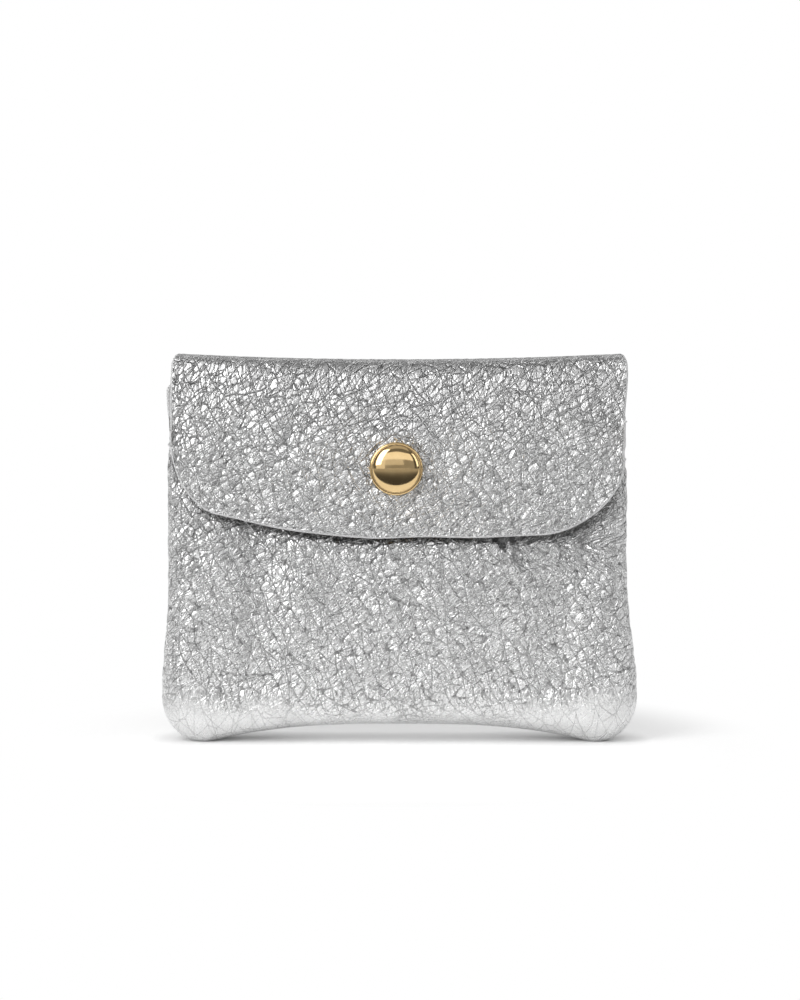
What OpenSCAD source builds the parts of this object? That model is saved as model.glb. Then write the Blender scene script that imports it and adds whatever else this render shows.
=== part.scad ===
// Flap purse in soft leather with a domed press stud and three compartments.
// X runs to the right, Y to the back and Z up. The purse stands on its two bottom corners.
// A depth called u is measured forwards from the outer face of the back panel.

/* [Body] */
// Width across the rounded bottom corners
body_w = 113.4; // [104:0.2:124]
// Width of the body above the flared corners
waist_w = 109.6; // [102:0.2:114]
// Height of the outer face of the top fold at its ends
body_h = 92.2; // [86:0.2:100]
// Depth of the leather body at its belly
body_d = 20.2; // [19:0.1:24]
// Depth of the front panel at the mouth
mouth_d = 16.2; // [15.8:0.1:18]
// Thickness of the shell leather
leather_t = 1.0; // [0.7:0.05:1.2]
// Height of the mouth edge of the front panel
mouth_h = 80.5; // [77:0.5:84]
// Height at which the front is deepest
belly_h = 26; // [20:1:32]
// Rounding of the sides, seen from above
side_r = 6; // [4:0.5:8]
// How much the front falls back from its middle to its sides
front_crown = 0.6; // [0:0.1:1]
// How much the back falls forward from its middle to its sides
back_crown = 0.2; // [0:0.05:0.3]

/* [Bottom edge] */
// Distance of each foot from the middle
foot_x = 46; // [38:0.5:48]
// Rise of the arched bottom edge in the middle
arch_rise = 4.0; // [1:0.1:6]
// Height of the rounded bottom corners
corner_h = 10.6; // [8:0.1:12]
// Height of the bottom tray that stays still when the front leans out
tray_h = 13; // [12.8:0.1:16]
// Depth of the bottom seam
seam_u = 11; // [10:0.1:11.4]
// How deep the flat under each foot is pressed
foot_flat = 0.5; // [0.3:0.1:0.8]

/* [Top fold and flap] */
// Half width of the flap
flap_half_w = 54.1; // [50:0.1:54.4]
// Half width of the leather on top of the fold
fold_half_w = 53.4; // [50:0.1:54]
// Outer radius of the two bends of the fold
fold_r = 3.6; // [3:0.1:4.5]
// Forward shift of the back bend
back_top_u = 1.5; // [0.5:0.1:2.5]
// Depth of the front bend
front_top_u = 16.4; // [16:0.1:18]
// Sag of the fold in the middle
fold_sag = 1.4; // [0:0.1:2]
// Height of the flap edge in the middle
flap_h = 49; // [42:0.5:54]
// Depth of the flap at its lower edge
flap_u = 21.9; // [21.6:0.1:23]
// Radius of the flap corners
flap_corner_r = 15; // [4:0.5:20]
// Rise of the flap edge from its middle to its corners
flap_rise = 5; // [0:0.5:8]

/* [Press stud] */
// Distance of the press stud from the middle
snap_x = -0.8; // [-3:0.1:3]
// Height of the press stud
snap_h = 65.5; // [62:0.5:67]
// Diameter of the domed cap
cap_d = 12.5; // [11:0.1:14]
// Height of the domed cap
cap_h = 3.0; // [2:0.1:4]
// Height of the rolled rim of the cap
cap_rim_h = 1.0; // [0.6:0.1:1.2]
// Radius of the cap's post
cap_post_r = 1.5; // [1.2:0.05:1.6]
// Radius of the socket
socket_r = 5.2; // [4.8:0.1:5.6]
// Height of the socket
socket_h = 1.5; // [1.3:0.1:1.8]
// Radius of the socket's hollow
socket_hollow_r = 2.8; // [2.7:0.05:3.2]
// Thickness of the stamped brass
brass_t = 0.4; // [0.3:0.05:0.5]
// Radius of the spring wire
spring_wire_r = 0.2; // [0.15:0.01:0.22]
// Radius of the stud's flange
stud_flange_r = 5.0; // [4.4:0.1:5.6]
// Radius of the stud's head
stud_head_r = 1.9; // [1.8:0.05:2.0]
// Height of the stud's head above its flange
stud_head_h = 1.0; // [0.8:0.05:1.1]
// Radius of the stud's rear post
stud_post_r = 1.2; // [1:0.05:1.3]
// Radius of the stud post's flange
post_flange_r = 4.5; // [4:0.1:5]
// Radius of the leather reinforcing discs
patch_r = 7; // [6:0.1:8]
// Thickness of the disc behind the flap
flap_patch_t = 0.4; // [0.3:0.05:0.6]
// Thickness of the disc behind the front panel
front_patch_t = 0.5; // [0.3:0.05:0.6]

/* [Side gussets] */
// Thickness of the gusset leather
gusset_t = 0.8; // [0.5:0.05:0.9]
// Inward reach of the gusset fold at the mouth
gusset_reach = 9.5; // [6:0.5:10]
// Height at which the gusset fold begins
gusset_foot_h = 19; // [18:0.5:24]
// Height of the gusset's top edge
gusset_top_h = 77; // [70:0.5:79]
// Gap between the front and back side edges, where the gusset shows
gusset_gap = 7.4; // [5:0.1:8]

/* [Coin pocket] */
// Half width of the coin pocket
pocket_half_w = 39; // [30:0.5:40]
// Height of the coin pocket's bottom edge
pocket_foot_h = 6.2; // [6:0.1:8]
// Height of the coin pocket's top edge
pocket_top_h = 71; // [66:0.5:73]
// Depth of the rear compartment's far wall
pocket_back_u = 5.6; // [5.4:0.1:6]
// Thickness of the coin pocket's leather
pocket_t = 0.7; // [0.5:0.05:0.8]
// Clear space inside the coin pocket
pocket_inside = 4.4; // [4.3:0.05:4.6]
// Width of the strip that closes the coin pocket's edges
pocket_edge_t = 0.8; // [0.5:0.05:1.2]

/* [Zip] */
// Thickness of the zip tape
tape_t = 0.35; // [0.25:0.05:0.4]
// Height of the sewn leg of the zip tape
tape_h = 7; // [5:0.5:9]
// Distance from one tooth to the next
tooth_pitch = 1.6; // [1.4:0.1:2]
// Width of a tooth along the zip
tooth_w = 0.95; // [0.7:0.05:1.1]
// Height of a tooth
tooth_h = 1.6; // [1.4:0.1:1.8]
// Reach of the teeth from the middle of the zip
tooth_reach = 1.35; // [1.2:0.05:1.4]
// Half length of the row of teeth
zip_half_l = 34; // [28:0.5:35]
// Place of the slider when the zip is shut
slider_x = 27; // [22:0.5:28]
// Length of the slider
slider_l = 7; // [5:0.5:8]
// Thickness of the slider's plates
plate_t = 0.8; // [0.6:0.05:0.9]
// Length of the puller
puller_l = 13; // [9:0.5:13.5]
// Width of the puller
puller_w = 3.6; // [3:0.1:4]
// Thickness of the puller
puller_t = 0.7; // [0.5:0.05:0.8]
// Length of one stitch
stitch_l = 2.2; // [1.6:0.1:2.4]
// Distance from one stitch to the next
stitch_pitch = 3; // [2.8:0.1:4]
// Radius of the sewing thread
thread_r = 0.15; // [0.1:0.01:0.2]

/* [Clearances] */
// Gap between leather edges that meet on different bodies
edge_gap = 0.3; // [0.2:0.05:0.4]
// Half the groove along the seam between front and back
seam_gap = 0.3; // [0.2:0.05:0.35]
// Gap between pieces that seat on each other
seat_gap = 0.05; // [0.02:0.01:0.1]
// Running gap between the slider and the zip
slider_gap = 0.1; // [0.06:0.01:0.15]

/* [Hidden] */

// Powers that shape the curves: higher ones stay flat longer and turn later.
arch_power = 2.8;
belly_power = 1.8;
flap_power = 2.7;
gusset_power = 0.8;

// Heights over which one form passes into the next.
lean_from_h = 66;
side_open_h = 17;
fold_narrow_h = 14;
back_narrow_h = 8;
back_shoulder_h = 3;
gusset_open_h = 45;
flap_side_drop = 1.1;
mouth_corner_drop = 3.5;

// Small parts of the zip.
lug_h = 1.5;
lug_l = 2;
lug_mid = 0.85;
lug_half = 0.3;
eye_r = 0.7;
eye_neck_l = 1.5;
pin_half = 1.15;
pin_r = 0.3;
lower_plate_half = 1.3;
slider_taper = 1.2;
slider_post_half = 1.5;
top_stop_l = 1.8;
bottom_stop_l = 2.2;
tape_reach = 1;
slot_over = 2;
stitch_drop = 3;
gusset_least_gap = 0.6;
gusset_least_reach = 0.8;

// How far cutters run past what they cut.
cut_past = 5;

leather_colour = [0.78, 0.78, 0.79];
inside_colour = [0.62, 0.6, 0.57];
brass_colour = [0.83, 0.66, 0.36];
tape_colour = [0.45, 0.45, 0.46];

// Depths of the press stud, from the front panel's outer face forwards.
snap_u = belly_curve(snap_h);
flange_front_u = snap_u + seat_gap + brass_t;
socket_front_u = flange_front_u + 3 * seat_gap + socket_h;
flap_inner_u = socket_front_u + flap_patch_t + 2 * seat_gap;
flap_snap_u = flap_inner_u + leather_t;
total_d = flap_snap_u + seat_gap + cap_h;
back_y = total_d / 2;

// Depths of the zip and the coin pocket.
pocket_front_u = pocket_back_u + 2 * pocket_t + pocket_inside;
zip_u = (pocket_back_u + pocket_front_u) / 2;
tape_z = pocket_top_h + 0.2;
tooth_z = tape_z + tape_t / 2;
tooth_gap = 0.3;
wall_half = pocket_inside / 2;
top_plate_z = tooth_z + tooth_h / 2 + slider_gap;
bottom_plate_z = tooth_z - tooth_h / 2 - slider_gap - plate_t;
crown_z = top_plate_z + plate_t;
pin_z = crown_z + lug_h / 2;

// Counts that set how finely the leather is drawn.
flat_columns = 22;
arc_columns = 5;
flat_share = 0.72;
bottom_rows = 6;
bottom_power = 0.77;
bend_split = 45;
bend_gap = 6.5;
flap_start = 24;

function u_to_y(u) = back_y - u;
function smooth(t) = let (k = min(max(t, 0), 1)) k * k * (3 - 2 * k);
function mix(a, b, t) = a + (b - a) * t;

// Height of the bottom edge at a distance x from the middle.
function bottom_edge(x) =
    let (a = abs(x), reach = body_w / 2 - foot_x)
    a <= foot_x
        ? (arch_rise + foot_flat) * (1 - pow(a / foot_x, arch_power)) - foot_flat
        : corner_h * (1 - sqrt(max(0, 1 - pow((a - foot_x) / reach, 2)))) - foot_flat;

// Half width of the body at a height z: it flares towards the bottom corners.
function body_half(z) =
    mix(waist_w, body_w, exp(-pow(max(0, z - tray_h) / tray_h, 2))) / 2;

// Depth of the front panel's outer face in the middle of the purse.
function belly_curve(z) =
    body_d - (body_d - mouth_d) * pow(max(0, z - belly_h) / (mouth_h - belly_h), belly_power);

// 1 under the press stud, falling to 0 around it.
function pressed(x, z) = 1 - smooth((norm([x - snap_x, z - snap_h]) - patch_r) / patch_r);

function front_depth(x, z) =
    mix(belly_curve(z) - front_crown * pow(x / (waist_w / 2), 2), snap_u, pressed(x, z));

// Depth of the back panel's outer face: it leans forward near the top.
function back_lean(z) = back_top_u
    * pow(max(0, z - lean_from_h) / (body_h - fold_r - lean_from_h), 2);
function back_depth(x, z) = back_lean(z) + back_crown * pow(x / (waist_w / 2), 2);

// Distance of the side edges from the seam plane: 0 in the tray, then opening for the gussets.
function side_opening(z) = gusset_gap / 2 * smooth((z - tray_h) / side_open_h);

function fold_top(x) = body_h - fold_sag * (1 - pow(x / flap_half_w, 2));
function flap_half(z) = mix(fold_half_w, flap_half_w, smooth((body_h - z) / fold_narrow_h));

// Outer face of the flap below its bend.
function flap_depth(x, z) =
    let (z1 = body_h - fold_r * (1 - sin(flap_start)),
         u1 = front_top_u - fold_r * (1 - cos(flap_start)),
         t = max(0, (z - flap_h) / (z1 - flap_h)),
         free = mix(flap_u, u1, pow(t, flap_power))
             - flap_side_drop * pow(abs(x / flap_half_w), 4))
    mix(free, flap_snap_u, pressed(x, z));

// Lower edge of the flap at a distance x from the middle.
function flap_edge(x) =
    let (a = abs(x), start = flap_half_w - flap_corner_r, k = max(0, (a - start) / flap_corner_r))
    flap_h + flap_rise * pow(a / flap_half_w, 2) + flap_corner_r * (1 - sqrt(max(0, 1 - k * k)));

// Columns across a panel, from -1 at the left edge to 1 at the right.
half_columns = [
    for (k = [0:flat_columns / 2]) flat_share * k / (flat_columns / 2),
    for (k = [1:arc_columns]) flat_share + (1 - flat_share) * k / arc_columns
];
columns = [
    for (k = [len(half_columns) - 1:-1:1]) -half_columns[k],
    for (c = half_columns) c
];

// x of a column, and its share of the depth, on a body section with rounded sides.
function column_x(c, half) =
    let (a = abs(c), flat = half - side_r)
    sign(c) * (a <= flat_share ? a / flat_share * flat
        : flat + side_r * sin(90 * (a - flat_share) / (1 - flat_share)));
function column_turn(c) = abs(c) <= flat_share ? 1
    : cos(90 * (abs(c) - flat_share) / (1 - flat_share));

// One point of the body shell: way is 1 for the front and -1 for the back.
function shell_point(way, c, z, half) =
    let (x = column_x(c, half),
         full = way > 0 ? front_depth(x, z) - seam_u : seam_u - back_depth(x, z),
         side = side_opening(z) + seam_gap)
    [x, u_to_y(seam_u + way * mix(side, full, column_turn(c))), z];

// One point of the rounded bottom: turn runs from 0 at the tray's rim to 90 at the seam.
function tray_point(way, c, turn) =
    let (rim = shell_point(way, c, tray_h, body_half(tray_h)),
         seam_y = u_to_y(seam_u + way * seam_gap),
         rise = (tray_h - bottom_edge(rim.x)) * pow(sin(turn), bottom_power))
    [rim.x, mix(seam_y, rim.y, pow(cos(turn), bottom_power)), tray_h - rise];

// A point on one of the fold's two bends: angle 0 is level and 90 is the top.
function bend_point(way, x, angle) =
    let (u0 = way > 0 ? front_top_u - fold_r : back_top_u + fold_r)
    [x, u_to_y(u0 + way * fold_r * cos(angle)), fold_top(x) - fold_r * (1 - sin(angle))];

function grid_normal(g, i, j) =
    let (n = len(g), m = len(g[0]),
         across = g[i][min(j + 1, m - 1)] - g[i][max(j - 1, 0)],
         up = g[min(i + 1, n - 1)][j] - g[max(i - 1, 0)][j],
         c = cross(across, up))
    c / norm(c);

// A leather sheet: g is a grid of points on its outer face, t its thickness.
// Rows run upwards and columns run from left to right, seen from outside.
module sheet(g, t) {
    n = len(g);
    m = len(g[0]);
    outer = [for (row = g) for (p = row) p];
    inner = [for (i = [0:n - 1]) for (j = [0:m - 1]) g[i][j] - t * grid_normal(g, i, j)];
    k = n * m;
    cell = function(i, j) i * m + j;
    quad = function(a, b, c, d) [[a, b, c], [a, c, d]];
    faces = concat(
        [for (i = [0:n - 2]) for (j = [0:m - 2])
            for (f = quad(cell(i, j), cell(i + 1, j), cell(i + 1, j + 1), cell(i, j + 1))) f],
        [for (i = [0:n - 2]) for (j = [0:m - 2])
            for (f = quad(k + cell(i, j), k + cell(i, j + 1), k + cell(i + 1, j + 1),
                          k + cell(i + 1, j))) f],
        [for (j = [0:m - 2]) each concat(
            quad(cell(0, j), cell(0, j + 1), k + cell(0, j + 1), k + cell(0, j)),
            quad(cell(n - 1, j + 1), cell(n - 1, j), k + cell(n - 1, j), k + cell(n - 1, j + 1)))],
        [for (i = [0:n - 2]) each concat(
            quad(cell(i, m - 1), cell(i + 1, m - 1), k + cell(i + 1, m - 1), k + cell(i, m - 1)),
            quad(cell(i + 1, 0), cell(i, 0), k + cell(i, 0), k + cell(i + 1, 0)))]
    );
    polyhedron(concat(outer, inner), faces, convexity = 6);
}

// Takes away what lies below the surface that the purse stands on.
module stand_flat() {
    difference() {
        children();
        translate([-body_w, -body_d * 2, -10])
            cube([2 * body_w, body_d * 4, 10]);
    }
}

// Places a piece turned about the press stud's axis: way 1 builds it forwards, -1 backwards.
module at_snap(u, way = 1) {
    translate([snap_x, u_to_y(u), snap_h])
        rotate([90 * way, 0, 0])
            children();
}

// A block between two depths, for the zip and the coin pocket.
module block(x0, x1, u0, u1, z0, z1) {
    translate([x0, u_to_y(u1), z0])
        cube([x1 - x0, u1 - u0, z1 - z0]);
}

module back_panel() {
    top_z = body_h - fold_r - fold_sag;
    rise_steps = 15;
    grid = concat(
        [for (k = [bottom_rows:-1:1])
            [for (c = columns) tray_point(-1, -c, 90 * k / bottom_rows)]],
        [for (k = [0:rise_steps])
            let (z = mix(tray_h, top_z - back_shoulder_h, k / rise_steps))
            [for (c = columns)
                let (narrow = smooth((z - top_z + back_narrow_h) / (back_narrow_h - back_shoulder_h)),
                     half = mix(body_half(z), fold_half_w, narrow),
                     p = shell_point(-1, -c, z, half))
                [p.x, mix(p.y, u_to_y(back_lean(z)), narrow), p.z]]],
        [for (angle = [0, 15, 30, bend_split - bend_gap])
            [for (c = columns) bend_point(-1, -c * fold_half_w, angle)]]
    );
    color(leather_colour) stand_flat() sheet(grid, leather_t);
}

module front_base() {
    grid = [
        for (k = [bottom_rows:-1:0])
            [for (c = columns) tray_point(1, c, 90 * k / bottom_rows)]
    ];
    color(leather_colour) stand_flat() sheet(grid, leather_t);
}

module gusset(hand) {
    rows = 9;
    path_steps = 8;
    grid = [
        for (i = [0:rows])
            let (z = mix(gusset_foot_h, gusset_top_h, i / rows),
                 rim = body_half(z) - leather_t - 2 * edge_gap,
                 reach = mix(gusset_least_reach, gusset_reach,
                             smooth((z - gusset_foot_h) / gusset_open_h)),
                 inside = belly_curve(z) - front_crown - leather_t - gusset_t - 2 * edge_gap - seam_u,
                 half_gap = max(gusset_least_gap, min(side_opening(z) - 4 * seat_gap, inside)))
            [for (k = [0:path_steps])
                let (t = k / path_steps)
                [hand * (rim - reach * pow(sin(180 * t), gusset_power)),
                 u_to_y(seam_u + hand * half_gap * (1 - 2 * t)), z]]
    ];
    color(leather_colour) sheet(grid, gusset_t);
}

module top_fold() {
    steps = 3;
    angles = [for (k = [0:steps]) mix(bend_split + bend_gap, 90, k / steps)];
    grid = concat(
        [for (a = angles) [for (c = columns) bend_point(-1, -c * fold_half_w, a)]],
        [for (k = [steps:-1:0]) [for (c = columns) bend_point(1, -c * fold_half_w, angles[k])]]
    );
    color(leather_colour) sheet(grid, leather_t);
}

// The snap's holes and flat seats in a leather sheet, between depths u0 and u1.
module snap_seat(u0, u1, hole_r, front_r, back_r) {
    difference() {
        children();
        at_snap(u0 - cut_past) cylinder(h = u1 - u0 + 2 * cut_past, r = hole_r, $fn = 48);
        at_snap(u1) cylinder(h = cut_past, r = front_r, $fn = 64);
        at_snap(u0 - cut_past) cylinder(h = cut_past, r = back_r, $fn = 64);
    }
}

module flap() {
    rows = 12;
    bend_angles = [bend_split - bend_gap, (bend_split - bend_gap + flap_start) / 2];
    z1 = body_h - fold_r * (1 - sin(flap_start));
    spread = [
        for (c = columns) sign(c) * (abs(c) <= flat_share
            ? abs(c) / flat_share * (1 - flap_corner_r / flap_half_w)
            : 1 - flap_corner_r / flap_half_w
                * (1 - sin(90 * (abs(c) - flat_share) / (1 - flat_share))))
    ];
    grid = concat(
        [for (i = [0:rows])
            [for (s = spread)
                let (x1 = s * flap_half_w,
                     low = flap_edge(x1),
                     z = mix(low, z1 - body_h + fold_top(x1), i / rows),
                     x = s * flap_half(z))
                [x, u_to_y(flap_depth(x, z)), z]]],
        [for (k = [1, 0]) [for (s = spread) bend_point(1, s * fold_half_w, bend_angles[k])]]
    );
    color(leather_colour)
        snap_seat(flap_inner_u, flap_snap_u, cap_post_r + seat_gap * 2,
                  cap_d / 2 + seat_gap * 4, patch_r + seat_gap * 4)
            sheet(grid, leather_t);
}

module flap_reinforcement() {
    color(inside_colour)
        at_snap(flap_inner_u - seat_gap, -1)
            difference() {
                cylinder(h = flap_patch_t, r = patch_r, $fn = 64);
                translate([0, 0, -cut_past])
                    cylinder(h = flap_patch_t + 2 * cut_past, r = cap_post_r + seat_gap * 2, $fn = 48);
            }
}

module snap_cap() {
    r = cap_d / 2;
    dome_r = r - 0.6;
    dome_steps = 10;
    post_l = leather_t + flap_patch_t + brass_t + seat_gap * 5;
    profile = concat(
        [[0, -post_l], [cap_post_r, -post_l], [cap_post_r, 0], [r - 0.3, 0], [r, cap_rim_h * 0.35],
         [r, cap_rim_h * 0.65], [r - 0.25, cap_rim_h * 0.95], [r - 0.5, cap_rim_h]],
        [for (k = [0:dome_steps])
            let (a = 90 * k / dome_steps)
            [dome_r * cos(a), cap_rim_h + 0.05 + (cap_h - cap_rim_h - 0.05) * sin(a)]]
    );
    color(brass_colour)
        at_snap(flap_snap_u + seat_gap)
            rotate_extrude($fn = 96) polygon(profile);
}

module snap_socket() {
    bore_r = cap_post_r + seat_gap;
    profile = [
        [bore_r, 0], [socket_r, 0], [socket_r, brass_t * 1.3], [socket_r - 0.8, socket_h * 0.6],
        [socket_r - 1, socket_h], [socket_hollow_r, socket_h], [socket_hollow_r, brass_t],
        [bore_r, brass_t]
    ];
    color(brass_colour)
        at_snap(flap_inner_u - flap_patch_t - 2 * seat_gap, -1)
            rotate_extrude($fn = 96) polygon(profile);
}

module socket_spring() {
    ring_r = socket_hollow_r - spring_wire_r - 3 * seat_gap;
    color(brass_colour)
        at_snap(socket_front_u - socket_h + 0.5 * (socket_h - brass_t), 1)
            rotate([0, 0, 120])
                rotate_extrude(angle = 300, $fn = 64)
                    translate([ring_r, 0]) circle(r = spring_wire_r, $fn = 16);
}

module front_panel() {
    rows = 14;
    grid = [
        for (i = [0:rows])
            [for (c = columns)
                let (edge = max(0, (abs(c) - flat_share) / (1 - flat_share)),
                     top = mouth_h - mouth_corner_drop * edge * edge,
                     z = mix(tray_h + edge_gap, top, i / rows))
                shell_point(1, c, z, body_half(z))]
    ];
    color(leather_colour)
        snap_seat(snap_u - leather_t, snap_u, stud_post_r + seat_gap * 2,
                  stud_flange_r + seat_gap * 4, patch_r + seat_gap * 4)
            sheet(grid, leather_t);
}

module snap_stud() {
    head_z = brass_t + stud_head_h;
    bore_r = stud_post_r + seat_gap;
    profile = [
        [bore_r, 0], [stud_flange_r, 0], [stud_flange_r, brass_t * 0.6],
        [stud_flange_r - 0.3, brass_t], [stud_head_r - 0.2, brass_t],
        [stud_head_r - 0.2, brass_t + stud_head_h * 0.4], [stud_head_r, brass_t + stud_head_h * 0.6],
        [stud_head_r - 0.1, head_z - 0.15], [stud_head_r - 0.4, head_z], [0, head_z],
        [0, head_z - 0.3], [bore_r, head_z - 0.3]
    ];
    color(brass_colour)
        at_snap(snap_u + seat_gap)
            rotate_extrude($fn = 96) polygon(profile);
}

module stud_post() {
    inner_u = snap_u - leather_t - front_patch_t - 2 * seat_gap;
    tube_l = snap_u + brass_t * 2 - inner_u;
    color(brass_colour)
        at_snap(inner_u)
            rotate_extrude($fn = 64)
                polygon([[0, -brass_t], [post_flange_r, -brass_t], [post_flange_r, 0],
                         [stud_post_r, 0], [stud_post_r, tube_l], [0, tube_l]]);
}

module stud_reinforcement() {
    color(inside_colour)
        at_snap(snap_u - leather_t - seat_gap, -1)
            difference() {
                cylinder(h = front_patch_t, r = patch_r, $fn = 64);
                translate([0, 0, -cut_past])
                    cylinder(h = front_patch_t + 2 * cut_past, r = stud_post_r + seat_gap * 2, $fn = 48);
            }
}

module pocket_wall(u0) {
    color(inside_colour)
        block(-pocket_half_w, pocket_half_w, u0, u0 + pocket_t, pocket_foot_h, pocket_top_h);
}

// The strip runs down one side, along the bottom and up the other side, between the walls.
module pocket_edge_strip() {
    u0 = pocket_back_u + pocket_t + seat_gap;
    u1 = pocket_front_u - pocket_t - seat_gap;
    top = pocket_top_h - tape_h - seat_gap * 4;
    color(inside_colour)
        difference() {
            block(-pocket_half_w, pocket_half_w, u0, u1, pocket_foot_h, top);
            block(-pocket_half_w + pocket_edge_t, pocket_half_w - pocket_edge_t,
                  u0 - cut_past, u1 + cut_past, pocket_foot_h + pocket_edge_t, top + cut_past);
        }
}

// An angle in section: one leg sewn inside the wall, the other holding the teeth.
module zip_tape(way) {
    leg = zip_u + way * (wall_half - seat_gap);
    color(tape_colour) {
        block(-pocket_half_w, pocket_half_w, min(leg, leg - way * tape_t),
              max(leg, leg - way * tape_t), pocket_top_h - tape_h, tape_z + tape_t);
        block(-pocket_half_w, pocket_half_w, min(leg - way * tape_t, zip_u + way * tape_reach),
              max(leg - way * tape_t, zip_u + way * tape_reach), tape_z, tape_z + tape_t);
    }
}

// The two rows stand half a pitch apart, each tooth clamped on the edge of its tape.
module zip_teeth(way) {
    count = floor(2 * zip_half_l / tooth_pitch);
    near = zip_u + way * tooth_gap;
    far = zip_u + way * tooth_reach;
    tape_edge = zip_u + way * (tape_reach - seat_gap);
    color(brass_colour)
        for (k = [0:count - 1]) {
            x = -zip_half_l + (k + 0.5 + way * 0.25) * tooth_pitch;
            difference() {
                block(x - tooth_w / 2, x + tooth_w / 2, min(near, far), max(near, far),
                      tooth_z - tooth_h / 2, tooth_z + tooth_h / 2);
                block(x - tooth_w, x + tooth_w, min(tape_edge, far + way), max(tape_edge, far + way),
                      tape_z - seat_gap / 2, tape_z + tape_t + seat_gap / 2);
            }
        }
}

module zip_top_stops() {
    x0 = zip_half_l + tooth_pitch * 0.6;
    color(brass_colour)
        for (way = [-1, 1])
            difference() {
                block(x0, x0 + top_stop_l, zip_u + min(way * tooth_gap, way * tooth_reach),
                      zip_u + max(way * tooth_gap, way * tooth_reach),
                      tooth_z - tooth_h / 2, tooth_z + tooth_h / 2);
                block(x0 - cut_past, x0 + top_stop_l + cut_past,
                      zip_u + min(way * (tape_reach - seat_gap), way * slot_over),
                      zip_u + max(way * (tape_reach - seat_gap), way * slot_over),
                      tape_z - seat_gap / 2, tape_z + tape_t + seat_gap / 2);
            }
}

module zip_bottom_stop() {
    x1 = -zip_half_l - tooth_pitch * 0.4;
    color(brass_colour)
        difference() {
            block(x1 - bottom_stop_l, x1, zip_u - tooth_reach, zip_u + tooth_reach,
                  tooth_z - tooth_h / 2, tooth_z + tooth_h / 2);
            for (way = [-1, 1])
                block(x1 - bottom_stop_l - cut_past, x1 + cut_past,
                      zip_u + min(way * (tape_reach - seat_gap), way * slot_over),
                      zip_u + max(way * (tape_reach - seat_gap), way * slot_over),
                      tape_z - seat_gap / 2, tape_z + tape_t + seat_gap / 2);
        }
}

// Two rows of stitches that hold the zip tapes to the pocket walls.
module zip_stitching() {
    count = floor(2 * (pocket_half_w - 2) / stitch_pitch);
    color(leather_colour)
        for (u = [pocket_back_u, pocket_front_u])
            for (k = [0:count - 1])
                translate([(k + 0.5 - count / 2) * stitch_pitch - stitch_l / 2, u_to_y(u),
                           pocket_top_h - stitch_drop])
                    rotate([0, 90, 0])
                        cylinder(h = stitch_l, r = thread_r, $fn = 16);
}

// The slider sits over the teeth: a thin post between the rows carries its lower plate.
module zip_slider() {
    half_l = slider_l / 2;
    post_half = tooth_gap - slider_gap;
    color(brass_colour) {
        difference() {
            union() {
                translate([slider_x, u_to_y(zip_u), top_plate_z])
                    linear_extrude(plate_t)
                        hull() {
                            square([slider_l - 2 * slider_taper, 2 * (wall_half - lug_half)],
                                   center = true);
                            square([slider_l, 2 * slider_taper], center = true);
                        }
                block(slider_x - half_l + slider_taper, slider_x + half_l - slider_taper,
                      zip_u - lower_plate_half, zip_u + lower_plate_half,
                      bottom_plate_z, bottom_plate_z + plate_t);
                block(slider_x - slider_post_half, slider_x + slider_post_half,
                      zip_u - post_half, zip_u + post_half,
                      bottom_plate_z + plate_t / 2, top_plate_z + plate_t / 2);
                for (way = [-1, 1])
                    block(slider_x - lug_l / 2, slider_x + lug_l / 2,
                          zip_u + way * lug_mid - lug_half, zip_u + way * lug_mid + lug_half,
                          crown_z - plate_t / 2, crown_z + lug_h);
            }
            translate([slider_x, u_to_y(zip_u), pin_z]) rotate([90, 0, 0])
                cylinder(h = 2 * cut_past, r = pin_r + seat_gap, center = true, $fn = 32);
        }
    }
}

// The puller lies along the zip and turns on a pin between the slider's two lugs.
module zip_puller() {
    inner_w = 2 * (lug_mid - lug_half) - 2 * slider_gap;
    color(brass_colour) {
        difference() {
            union() {
                translate([slider_x, u_to_y(zip_u) + inner_w / 2, pin_z])
                    rotate([90, 0, 0]) cylinder(h = inner_w, r = eye_r, $fn = 32);
                block(slider_x - lug_l / 2 - eye_neck_l, slider_x, zip_u - inner_w / 2, zip_u + inner_w / 2,
                      pin_z - puller_t / 2, pin_z + puller_t / 2);
                block(slider_x - puller_l + puller_w / 2, slider_x - lug_l / 2 - 2 * lug_half,
                      zip_u - puller_w / 2, zip_u + puller_w / 2,
                      pin_z - puller_t / 2, pin_z + puller_t / 2);
                translate([slider_x - puller_l + puller_w / 2, u_to_y(zip_u), pin_z - puller_t / 2])
                    cylinder(h = puller_t, r = puller_w / 2, $fn = 48);
                translate([slider_x, u_to_y(zip_u) + pin_half, pin_z])
                    rotate([90, 0, 0]) cylinder(h = 2 * pin_half, r = pin_r, $fn = 32);
            }
            translate([slider_x - puller_l + puller_w / 2, u_to_y(zip_u), pin_z])
                cylinder(h = 2 * cut_past, r = puller_w / 4, center = true, $fn = 32);
        }
    }
}

back_panel();
front_base();
gusset(-1);  // left_gusset
gusset(1);  // right_gusset
top_fold();
flap();
flap_reinforcement();
snap_cap();
snap_socket();
socket_spring();
front_panel();
snap_stud();
stud_post();
stud_reinforcement();
pocket_wall(pocket_back_u);  // pocket_back_wall
pocket_wall(pocket_front_u - pocket_t);  // pocket_front_wall
pocket_edge_strip();
zip_tape(-1);  // zip_tape_back
zip_tape(1);  // zip_tape_front
zip_teeth(-1);  // zip_teeth_back
zip_teeth(1);  // zip_teeth_front
zip_top_stops();
zip_bottom_stop();
zip_stitching();
zip_slider();
zip_puller();
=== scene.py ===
import math

import bmesh
import bpy
import numpy as np
from mathutils import Matrix, Vector


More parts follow.
